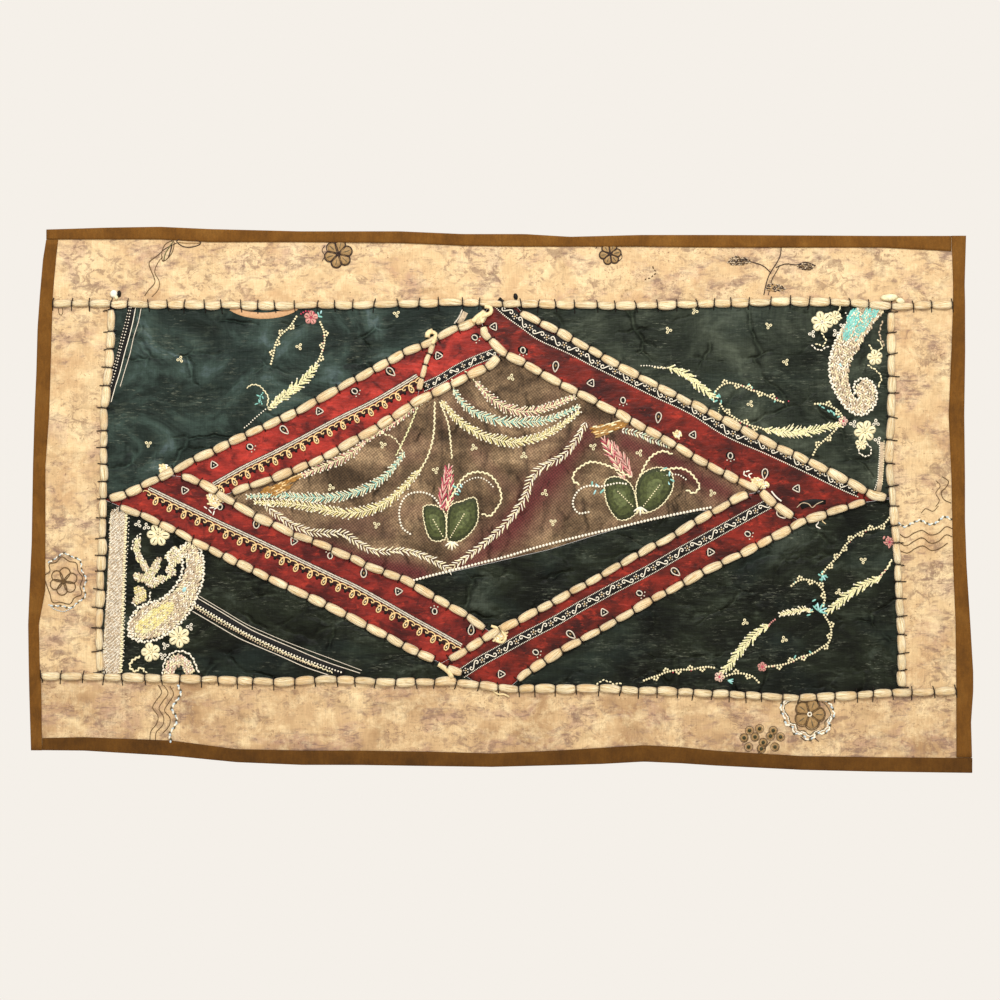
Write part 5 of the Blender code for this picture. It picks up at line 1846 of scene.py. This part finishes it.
LOWER_RIGHT_WORK = [
    ("vine", "cream thread", [(426, 312), (420, 319), (410, 324), (400, 326), (391, 330), (383, 337),
        (376, 344), (371, 353), (364, 360), (358, 366), (352, 374)]),
    ("beads", "rose bead", [(400, 327), (383, 338), (369, 355)], 2.0, 17.0),
    ("stitches", "turquoise thread", [(352, 372), (355, 376), (349, 375), (351, 380)], 4.2, 1.5),
    ("flower", (426, 339), 5.5, 5, "rose bead", "pink thread", "rose bead"),
    ("flower", (286, 476), 5.5, 5, "rose bead", "pink thread", "rose bead"),
    ("fan", TURQUOISES, (348, 415), -60, 9.0, 5, 150, 1.5),
    ("fan", TURQUOISES, (352, 375), 60, 7.0, 3, 70, 1.5),
    ("fan", TURQUOISES, (248, 491), 10, 6.0, 3, 50, 1.2),
    ("stitches", "pink thread", [(425, 334), (428, 339), (421, 340), (426, 344), (420, 334)], 4.0, 1.5),
    ("sprigs", "cream thread", 4.6, [(397, 359), (310, 446), (267, 427), (370, 394)]),
    ("chain", "cream thread", [(428, 359), (424, 367), (417, 375), (411, 382)], 3.4, 1.5, 2.4, 0.5),
    ("beads", "rose bead", [(421, 370), (417, 375)], 2.1, 3.0),
    ("spray", [(416, 378), (404, 383), (392, 389), (381, 397), (371, 405), (360, 414)]),
    ("stitches", "turquoise thread", [(351, 415), (345, 409), (343, 403), (340, 414), (337, 419),
        (354, 408)], 4.6, 1.6),
    ("disc", "turquoise sequin", (350, 414), 2.3, 2.8),
    ("vine", "cream thread", [(353, 409), (355, 400), (353, 392), (346, 384), (339, 381), (330, 380),
        (323, 383), (318, 387)]),
    ("beads", "turquoise thread", [(322, 383), (318, 387)], 2.1, 2.6),
    ("fern", "cream thread", [(341, 415), (332, 413), (324, 415), (316, 416), (307, 418)],
        5.0, 0.7, 2.9, 1.2, "pale green thread"),
    ("beads", "pink thread", [(300, 424), (296, 427), (293, 431)], 2.3, 2.6),
    ("spray", [(293, 430), (282, 437), (273, 446), (264, 455), (256, 465), (250, 474), (242, 482)]),
    ("flower", (239, 487), 6, 5, "pink thread", "pale pink thread", "rose bead"),
    ("vine", "cream thread", [(244, 487), (252, 484), (260, 483), (268, 484), (276, 487), (282, 493)]),
    ("vine", "cream thread", [(354, 419), (360, 429), (362, 439), (359, 449), (351, 455), (344, 460)]),
    ("vine", "cream thread", [(344, 460), (337, 463), (329, 465), (321, 469), (314, 472), (306, 474),
        (298, 475), (290, 476)]),
    ("beads", "pink thread", [(331, 465), (315, 472), (293, 476), (286, 476)], 2.3, 12.0),
    ("stitches", "turquoise thread", [(339, 460), (322, 465)], 4.0, 1.4),
    ("vine", "cream thread", [(233, 477), (226, 476), (217, 477), (208, 479), (198, 479), (189, 480),
        (180, 482), (173, 485), (164, 488), (156, 491)]),
    ("beads", "rose bead", [(208, 480), (188, 482)], 2.0, 14.0),
    ("chain", "cream thread", [(105, 495), (110, 491), (117, 492), (123, 495), (130, 494)], 3.0, 1.4),
]

NET_WORK = [
    ("fill", ["ochre silk", "tan thread", "ochre silk", "gold thread"], [(-264, 286), (-260, 280),
        (-249, 276), (-237, 271), (-222, 264), (-226, 271), (-234, 274), (-233, 280), (-243, 283),
        (-249, 287), (-256, 285)], -24, 6.5, 1.3, 0.85, 0.1, 0.6, "ochre silk"),
    ("fill", ["ochre silk", "tan thread", "gold thread", "cream thread"], [(100, 213), (109, 211),
        (120, 208), (132, 205), (135, 210), (125, 215), (116, 219), (106, 223), (102, 219)],
        -17, 6.5, 1.3, 0.85, 0.1, 0.6, "ochre silk"),
    ("fern", CREAMS, [(92, 207), (84, 222), (73, 238), (61, 248), (47, 255), (37, 263), (31, 273),
        (28, 283), (19, 300), (10, 312), (0, 323), (-12, 334), (-24, 344), (-37, 354), (-51, 364)],
        7.6, 0.6, 3.7, 1.0, None, 0.9),
    ("fern", CREAMS, [(-260, 296), (-253, 305), (-243, 312), (-233, 319), (-221, 324), (-209, 328),
        (-191, 329), (-174, 330), (-158, 340), (-143, 348), (-129, 349), (-114, 348), (-99, 350),
        (-84, 355), (-70, 362), (-59, 369)], 7.2, 0.6, 3.7, 1.0, None, 0.9),
    ("beads", "white bead", [(-97, 381), (-79, 376), (-55, 370), (-24, 362), (4, 355), (37, 345),
        (72, 336), (101, 329), (131, 322), (164, 314), (207, 305), (229, 301)], 3.5, 3.7, False, 0.2),
    ("garland", TURQUOISE_GARLAND, [(-108, 241), (-117, 254), (-129, 267), (-145, 278), (-167, 286),
        (-189, 290), (-211, 290), (-229, 289), (-246, 287), (-264, 288), (-279, 289)],
        "pale turquoise thread"),
    ("garland", YELLOW_GARLAND, [(-91, 260), (-108, 279), (-127, 295), (-147, 304), (-167, 307),
        (-185, 305), (-206, 301), (-222, 298), (-239, 296), (-255, 296), (-271, 295)],
        "cream thread", 7.8),
    ("garland", PINK_GARLAND, [(-152, 229), (-161, 238), (-172, 245), (-185, 251), (-198, 256),
        (-211, 262), (-223, 267)], "cream thread"),
    ("chain", "cream thread", [(-139, 218), (-121, 223), (-112, 233), (-109, 242)], 3.2, 1.3),
    ("chain", "cream thread", [(-74, 186), (-75, 219), (-81, 243), (-91, 262)], 3.6, 1.4, 2.7, 0.5),
    ("chain", "pale green thread", [(-91, 186), (-103, 216), (-116, 243)], 3.2, 1.3, 2.7, 0.5),
    ("chain", "cream thread", [(-68, 186), (-59, 210), (-55, 246)], 3.2, 1.3, 2.7, 0.5),
    ("fern", ["pink thread", "cream thread"], [(-81, 180), (-97, 191), (-114, 205), (-132, 216),
        (-150, 228)], 5.0, 0.7, 3.2, 1.1, "cream thread"),
    ("garland", PINK_GARLAND, [(-29, 163), (-15, 178), (0, 189), (18, 195), (35, 195), (53, 190),
        (67, 184), (80, 179)], "cream thread"),
    ("garland", TURQUOISE_GARLAND, [(-53, 172), (-45, 184), (-34, 194), (-18, 201), (0, 206),
        (22, 207), (47, 205), (67, 198), (84, 190)], "pale turquoise thread"),
    ("garland", YELLOW_GARLAND, [(-66, 184), (-53, 200), (-34, 215), (-13, 224), (9, 229), (29, 227),
        (47, 221), (67, 209), (84, 196)], "cream thread"),
    ("fern", ["white bead", "pale turquoise thread", "cream thread"], [(132, 216), (150, 220),
        (167, 227), (183, 233)], 5.5, 0.8, 3.2, 1.2),
    ("chain", "cream thread", [(-40, 152), (-33, 158), (-29, 163)], 3.2, 1.3),
    ("chain", "cream thread", [(-55, 161), (-54, 167), (-53, 173)], 3.2, 1.3),
    ("fern", ["pink thread", "rose bead", "pale pink thread"], [(-67, 305), (-66, 289), (-63, 274),
        (-59, 260)], 11.0, 0.4, 2.7, 1.1, None, 0.7),
    ("fern", ["rose bead", "pink thread", "cream thread"], [(-61, 305), (-58, 292), (-57, 278),
        (-57, 266)], 10.0, 0.35, 2.9, 1.0, None, 0.7),
    ("fern", ["pink thread", "pale pink thread", "cream thread", "rose bead"], [(135, 271), (129, 257),
        (121, 244), (113, 228)], 11.0, 0.45, 2.3, 1.0, None, 0.6),
    ("fern", ["pale pink thread", "pink thread", "pink thread"], [(143, 268), (138, 256), (130, 244),
        (122, 233)], 10.0, 0.4, 2.3, 1.0, None, 0.6),
    ("stitches", TURQUOISES, [(-52, 278), (-47, 282), (-50, 286), (-45, 277), (99, 275), (105, 277),
        (110, 283), (102, 284), (179, 258), (184, 264), (187, 271), (183, 274)], 6.0, 1.6),
    ("beads", "white bead", [(-68, 299), (-72, 293), (-77, 288), (-84, 285), (-91, 284), (-99, 285),
        (-106, 289), (-111, 297), (-113, 306), (-112, 316), (-109, 324), (-101, 330)], 2.9, 3.4),
    ("chain", "cream thread", [(-61, 301), (-55, 288), (-48, 276), (-42, 268), (-34, 263), (-24, 262),
        (-14, 265), (-7, 272), (-2, 282), (-1, 293), (-6, 302), (-13, 310), (-21, 308)],
        3.8, 1.5, 2.7, 0.5),
    ("beads", "white bead", [(-51, 286), (-44, 276), (-35, 270), (-25, 268), (-16, 272), (-10, 278)],
        2.2, 3.2),
    ("chain", "cream thread", [(141, 267), (131, 262), (119, 256), (107, 252), (97, 251), (88, 255),
        (80, 262), (78, 271), (84, 275)], 3.8, 1.5, 2.7, 0.5),
    ("beads", "white bead", [(136, 275), (127, 274), (117, 276), (107, 278), (97, 277), (87, 280),
        (80, 288), (78, 298), (84, 307), (95, 306)], 2.9, 3.4),
    ("chain", "cream thread", [(152, 266), (157, 255), (163, 246), (170, 241), (178, 239), (186, 242)],
        3.8, 1.5, 2.7, 0.5),
    ("chain", "cream thread", [(165, 264), (176, 260), (187, 258), (197, 258), (206, 262), (213, 270),
        (217, 278), (211, 285), (204, 282)], 3.8, 1.5, 2.7, 0.5),
    ("beads", "white bead", [(172, 268), (183, 265), (194, 265), (202, 270)], 2.2, 3.2),
    ("leaf", [(-63, 336), (-78, 336), (-85, 319), (-86, 300), (-73, 299), (-64, 305), (-61, 320)],
        (-64, 334), (-81, 305)),
    ("leaf", [(-59, 338), (-61, 317), (-57, 299), (-44, 294), (-30, 290), (-26, 306), (-29, 321),
        (-43, 336)], (-58, 336), (-34, 295)),
    ("leaf", [(148, 306), (130, 315), (117, 300), (113, 284), (114, 271), (125, 267), (138, 272),
        (145, 283)], (145, 301), (119, 275)),
    ("leaf", [(152, 306), (147, 282), (153, 265), (169, 257), (184, 260), (188, 270), (186, 284),
        (172, 301)], (154, 301), (182, 265)),
    ("fan", CREAMS, (-55, 338), 90, 9.0, 5, 110, 1.8),
    ("fan", CREAMS, (152, 300), 90, 9.0, 5, 110, 1.8),
    ("sprigs", "cream thread", 4.8, [(-131, 232), (-31, 235), (24, 244), (-73, 260), (-138, 320),
        (100, 234), (151, 241), (56, 317), (231, 285), (10, 158), (47, 285), (-188, 279)]),
]

STRIP_WORK = [
    ("loops", [(-388, 280), (-349, 299), (-307, 319), (-264, 339), (-222, 359), (-184, 377),
        (-162, 387), (-129, 405), (-99, 422), (-68, 439), (-45, 452)], 1),
    ("loops", [(-94, 156), (-117, 170), (-145, 186), (-178, 202), (-212, 220), (-248, 239),
        (-283, 256), (-317, 275)], -1),
    ("scrolls", [(-87, 169), (-68, 160), (-48, 148), (-29, 139), (-6, 130)], 6.4),
    ("scrolls", [(-44, 483), (-24, 470), (-2, 458), (25, 443), (56, 427), (89, 408), (124, 389),
        (161, 370), (196, 350), (231, 331), (267, 311), (293, 297)], 8.0),
    ("scrolls", [(-6, 74), (7, 85), (24, 98), (44, 111), (75, 125), (98, 138), (122, 150), (146, 162),
        (170, 174), (210, 193), (249, 217), (292, 235), (332, 254), (367, 272), (392, 284)], 8.2,
        (None, None)),
    ("beads", "white bead", [(-9, 79), (3, 90), (21, 103), (41, 117), (72, 131), (95, 143), (119, 155),
        (143, 167), (167, 179), (207, 198), (245, 222), (288, 241), (329, 260), (364, 277),
        (391, 289)], 1.8, 2.3),
    ("butis", 205, [(-349, 282), (-310, 300), (-270, 319), (-229, 338), (-189, 354), (-152, 373),
        (-114, 393), (-74, 415), (-34, 436)]),
    ("butis", -27, [(-317, 254), (-277, 234), (-240, 215), (-201, 195), (-162, 173), (-123, 151)]),
    ("butis", -27, [(-70, 134), (-30, 114)]),
    ("butis", 27, [(-9, 102), (23, 128), (59, 145), (98, 164), (133, 183), (172, 201), (210, 221),
        (251, 244), (289, 263), (324, 280)]),
    ("butis", -30, [(-1, 484), (37, 460), (75, 440), (112, 416), (151, 395), (190, 371), (229, 350),
        (270, 330), (306, 308)]),
    ("ribbon", "black silk band", [(328, 299), (341, 295), (356, 295)], [9, 5], 0.3),
    ("cord", "grey lace", [(324, 301), (330, 296), (337, 297), (341, 301), (346, 297), (353, 294)],
        0.5, 1.6, False, 0.3),
]


def ringed_dots(work, places):
    """The beaded dots on the lower border, each a dark bead ringed in thread."""
    for place in places:
        disc(work, "tan thread", place, 4.7, 4.7, 0, 0.4)
        disc(work, "deep green bead", place, 2.6, 2.6, 0, 1.2)
        cord(work, "brown outline thread", ring(place, 4.8, 4.8), 0.35, 2.2, True)


class HangingCloth(bpy.types.PropertyGroup):
    """The sizes and colours of the patches and the binding."""
    grid: bpy.props.FloatProperty(
        name="Fold grid", description="How close the folds of a patch are cut", default=0.0055,
        min=0.003, unit="LENGTH",
    )
    cream: bpy.props.FloatVectorProperty(
        name="Cream silk", description="The faded ground of the borders", subtype="COLOR",
        size=4, min=0, max=1, default=linear("#d3b487"),
    )
    dark: bpy.props.FloatVectorProperty(
        name="Dark silk", description="The ground of the upper left corner", subtype="COLOR",
        size=4, min=0, max=1, default=linear("#212b26"),
    )
    red: bpy.props.FloatVectorProperty(
        name="Red silk", description="The ground of the brighter red strips", subtype="COLOR",
        size=4, min=0, max=1, default=linear("#93281f"),
    )
    binding: bpy.props.FloatVectorProperty(
        name="Binding", description="The brown of the cotton binding", subtype="COLOR",
        size=4, min=0, max=1, default=linear("#6f4715"),
    )


class HangingBraid(bpy.types.PropertyGroup):
    """The sizes of the braid and of the thread that holds it."""
    thread: bpy.props.FloatProperty(
        name="Thread", description="Half the thickness of the dark thread", default=0.00055,
        min=0.0002, unit="LENGTH",
    )
    yarn: bpy.props.FloatVectorProperty(
        name="Yarn", description="The palest cream of the braid", subtype="COLOR", size=4,
        min=0, max=1, default=linear("#f9e9c4"),
    )


class HangingStudio(bpy.types.PropertyGroup):
    """The light and the backdrop."""
    backdrop: bpy.props.FloatVectorProperty(
        name="Backdrop", description="The pale colour behind the hanging", subtype="COLOR",
        size=4, min=0, max=1, default=linear("#f5f0e9"),
    )
    key: bpy.props.FloatProperty(
        name="Key light", description="Power of the large soft light", default=48, min=0,
        unit="POWER",
    )


class HANGING_OT_cream_borders(bpy.types.Operator):
    """Hangs the four cream silk borders"""
    bl_idname = "hanging.cream_borders"
    bl_label = "Cream borders"

    def execute(self, context):
        ground = list(context.scene.hanging_cloth.cream)
        silk = cream_silk("cream printed silk", ground, "#bf9a70", "#e2c89c")
        # The bottom border in a darker, browner copy of the silk
        browned = cream_silk("browned printed silk", "#c3a278", "#a5825c", "#d6b88b")
        hang_patches(
            context, CREAM_PATCHES, lambda node: browned if node == "border_bottom" else silk,
            lambda node: "cream_silk",
        )
        return {"FINISHED"}


class HANGING_OT_dark_corners(bpy.types.Operator):
    """Hangs the four dark silk corners"""
    bl_idname = "hanging.dark_corners"
    bl_label = "Dark corners"

    def execute(self, context):
        ground = list(context.scene.hanging_cloth.dark)
        green = dark_silk("dark green silk", "#111914", ground, "#37463f", "#58686a")
        black = dark_silk("worn black silk", "#11160f", "#232920", "#343a2f", "#51584a")
        olive = dark_silk("dark olive silk", "#070905", "#11140d", "#1d2217", "#3d443a")
        finishes = {"corner_top_left": green, "corner_top_right": black}
        hang_patches(
            context, DARK_PATCHES, lambda node: finishes.get(node, olive), lambda node: "dark_silk",
        )
        return {"FINISHED"}


class HANGING_OT_red_strips(bpy.types.Operator):
    """Hangs the five red silk strips of the diamond"""
    bl_idname = "hanging.red_strips"
    bl_label = "Red strips"

    def execute(self, context):
        ground = list(context.scene.hanging_cloth.red)
        bright = red_silk("worn red silk", "#b2352a", ground, "#5e1510")
        deep = red_silk("deep red silk", "#822216", "#5e190f", "#360d08")
        middle = red_silk("dull red silk", "#932a1f", "#772019", "#48100d")
        finishes = {"strip_lower_left": middle, "strip_upper_right": deep, "strip_lower_right": deep}
        hang_patches(
            context, RED_PATCHES, lambda node: finishes.get(node, bright), lambda node: "red_silk",
        )
        return {"FINISHED"}


class HANGING_OT_centre(bpy.types.Operator):
    """Hangs the brown net and the dark piece below it"""
    bl_idname = "hanging.centre"
    bl_label = "Net and centre"

    def execute(self, context):
        finishes = {"net_panel": brown_net(), "centre_panel": bpy.data.materials["dark olive silk"]}
        slots = {"net_panel": "brown_net", "centre_panel": "dark_silk"}
        hang_patches(context, CENTRE_PATCHES, finishes.get, slots.get)
        return {"FINISHED"}


class HANGING_OT_binding(bpy.types.Operator):
    """Folds the four strips of brown binding over the edge"""
    bl_idname = "hanging.binding"
    bl_label = "Binding"

    def execute(self, context):
        ground = list(context.scene.hanging_cloth.binding)
        cotton = brown_cotton("brown cotton binding", "#5f3c11", ground, "#7d541f")
        lower = brown_cotton("dark brown cotton binding", "#4c2f0b", "#5b390e", "#694414")
        for side in BINDINGS:
            strip, (width, length) = binding_strip(side)
            finish_piece(
                strip, lower if side == "bottom" else cotton, "binding_cotton", ["binding_" + side],
            )
        return {"FINISHED"}


class HANGING_OT_braid(bpy.types.Operator):
    """Lays the padded braids over the seams and stitches them down"""
    bl_idname = "hanging.braid"
    bl_label = "Braid and its stitches"

    def execute(self, context):
        yarn = cream_yarn(list(context.scene.hanging_braid.yarn))
        dark = thread_finish("dark brown stitching thread", "#1a110c", 0.7, 0.0)
        random.seed(BRAID_SEED)
        rng = random.Random(BRAID_SEED)
        for seam, off_start, off_end, reach_left, reach_right in BRAIDS:
            line = SEAMS[seam]
            girth, pitch = SLIM_BRAIDS.get(seam, (1.0, STITCH_PITCH))
            whole = sum(math.dist(a, b) for a, b in zip(line, line[1:]))
            lengths = puff_lengths(whole - off_start - off_end, pitch)
            node = "braid_" + seam.replace(" ", "_")
            braid, stitches = braid_piece("yarn_" + node, line, lengths, off_start, girth, rng)
            finish_piece(braid, yarn, "yarn_braid", [node])
            thread = braid_stitches(
                "stitches_" + node, line, stitches, reach_left, reach_right, girth,
                context.scene.hanging_braid.thread / MM, rng,
            )
            finish_piece(thread, dark)
        return {"FINISHED"}


class HANGING_OT_border_needlework(bpy.types.Operator):
    """Works the vines, flowers and ringed dots of the cream borders"""
    bl_idname = "hanging.border_needlework"
    bl_label = "Border needlework"

    def execute(self, context):
        work = Needlework(BORDER_SEED)
        draw(work, BORDER_WORK)
        ringed_dots(work, RINGED_DOTS)
        work.finish("border_needlework")
        knots = Needlework(KNOTS_SEED)
        draw(knots, YARN_WORK)
        knots.finish("yarn_knots")
        return {"FINISHED"}


class HANGING_OT_corner_needlework(bpy.types.Operator):
    """Works the sprays, paisleys and ribbons of the dark corners"""
    bl_idname = "hanging.corner_needlework"
    bl_label = "Corner needlework"

    def execute(self, context):
        areas = {
            "upper_left": UPPER_LEFT_WORK, "upper_right": UPPER_RIGHT_WORK,
            "lower_left": LOWER_LEFT_WORK, "lower_right": LOWER_RIGHT_WORK,
        }
        for seed, (area, rows) in enumerate(areas.items(), CORNER_SEED):
            work = Needlework(seed)
            draw(work, rows)
            work.finish(area + "_needlework")
        return {"FINISHED"}


class HANGING_OT_strip_trims(bpy.types.Operator):
    """Works the corded trims and small motifs of the red strips"""
    bl_idname = "hanging.strip_trims"
    bl_label = "Strip trims"

    def execute(self, context):
        work = Needlework(STRIP_SEED)
        draw(work, STRIP_WORK)
        work.finish("strip_trims")
        return {"FINISHED"}


class HANGING_OT_net_needlework(bpy.types.Operator):
    """Works the leaves, garlands and beaded bands of the net"""
    bl_idname = "hanging.net_needlework"
    bl_label = "Net needlework"

    def execute(self, context):
        work = Needlework(NET_SEED)
        draw(work, NET_WORK)
        work.finish("net_needlework")
        return {"FINISHED"}


class HANGING_OT_studio(bpy.types.Operator):
    """Sets the floor, the soft light, the backdrop and the camera"""
    bl_idname = "hanging.studio"
    bl_label = "Studio"

    def execute(self, context):
        studio = context.scene.hanging_studio
        world = bpy.data.worlds.new("studio")
        world.use_nodes = True
        sky = world.node_tree.nodes["Background"]
        sky.inputs["Color"].default_value = studio.backdrop
        sky.inputs["Strength"].default_value = 1.0
        context.scene.world = world
        context.scene.view_settings.view_transform = "Standard"
        bpy.ops.object.select_all(action="DESELECT")
        bpy.ops.mesh.primitive_cylinder_add(
            vertices=96, radius=FLOOR_RADIUS, depth=FLOOR_DEPTH, location=FLOOR_PLACE,
        )
        floor = context.object
        floor.name = "studio_floor"
        bpy.ops.object.transform_apply(location=True, rotation=False, scale=False)
        finish, tree, shader, place = new_finish("pale painted board", 0.8)
        base = cloudy(tree, place, (300, 300, 300), ((0.3, "#d8d2c8"), (0.7, "#dfdad1")))
        tree.links.new(base, shader.inputs["Base Color"])
        floor.data.materials.append(finish)
        for name, power, size, place, aim in LIGHTS:
            bpy.ops.object.light_add(type="AREA", location=place)
            light = context.object
            light.name = name
            light.data.shape = "DISK"
            light.data.size = size
            light.data.energy = power * studio.key
            light.rotation_euler = (Vector(aim) - Vector(place)).to_track_quat("-Z", "Y").to_euler()
        bpy.ops.object.camera_add(location=CAMERA_PLACE, rotation=(math.radians(90), 0, 0))
        camera = context.object
        camera.data.lens = CAMERA_LENS
        camera.data.sensor_width = SENSOR_WIDTH
        context.scene.camera = camera
        return {"FINISHED"}


# The camera's lens and sensor, in mm
CAMERA_LENS = 85
SENSOR_WIDTH = 36
# The studio, in metres. Columns of the lights: name, share of the key, size, place, aim
CAMERA_PLACE = (-0.0022, -2.60, -0.2926)
FLOOR_RADIUS = 1.6
FLOOR_DEPTH = 0.02
FLOOR_PLACE = (0, -0.7, -1.06)
LIGHTS = [
    ("key_light", 1.0, 0.7, (0.02, -1.9, 1.35), (0, 0, -0.3)),
]

GROUPS = {
    "hanging_cloth": HangingCloth, "hanging_braid": HangingBraid, "hanging_studio": HangingStudio,
}
OPERATORS = [
    HANGING_OT_cream_borders, HANGING_OT_dark_corners, HANGING_OT_red_strips, HANGING_OT_centre,
    HANGING_OT_binding, HANGING_OT_braid, HANGING_OT_border_needlework,
    HANGING_OT_corner_needlework, HANGING_OT_strip_trims, HANGING_OT_net_needlework,
    HANGING_OT_studio,
]


class HANGING_PT_panel(bpy.types.Panel):
    """Lists the pieces of the hanging in the order that they are made"""
    bl_idname = "HANGING_PT_panel"
    bl_label = "Embroidered hanging"
    bl_space_type = "VIEW_3D"
    bl_region_type = "UI"
    bl_category = "Hanging"

    def draw(self, context):
        for name, group in GROUPS.items():
            for prop in group.__annotations__:
                self.layout.prop(getattr(context.scene, name), prop)
        for operator in OPERATORS:
            self.layout.operator(operator.bl_idname)


def register():
    """Adds the settings, the operators and their panel."""
    for made in [*GROUPS.values(), *OPERATORS, HANGING_PT_panel]:
        bpy.utils.register_class(made)
    for name, group in GROUPS.items():
        setattr(bpy.types.Scene, name, bpy.props.PointerProperty(type=group))


def unregister():
    """Removes what register added."""
    for name in GROUPS:
        delattr(bpy.types.Scene, name)
    for made in [*GROUPS.values(), *OPERATORS, HANGING_PT_panel]:
        bpy.utils.unregister_class(made)


def main():
    """Makes the hanging piece by piece."""
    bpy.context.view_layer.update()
    register()
    for operator in OPERATORS:
        group, name = operator.bl_idname.split(".")
        getattr(getattr(bpy.ops, group), name)()


if __name__ == "__main__":
    main()
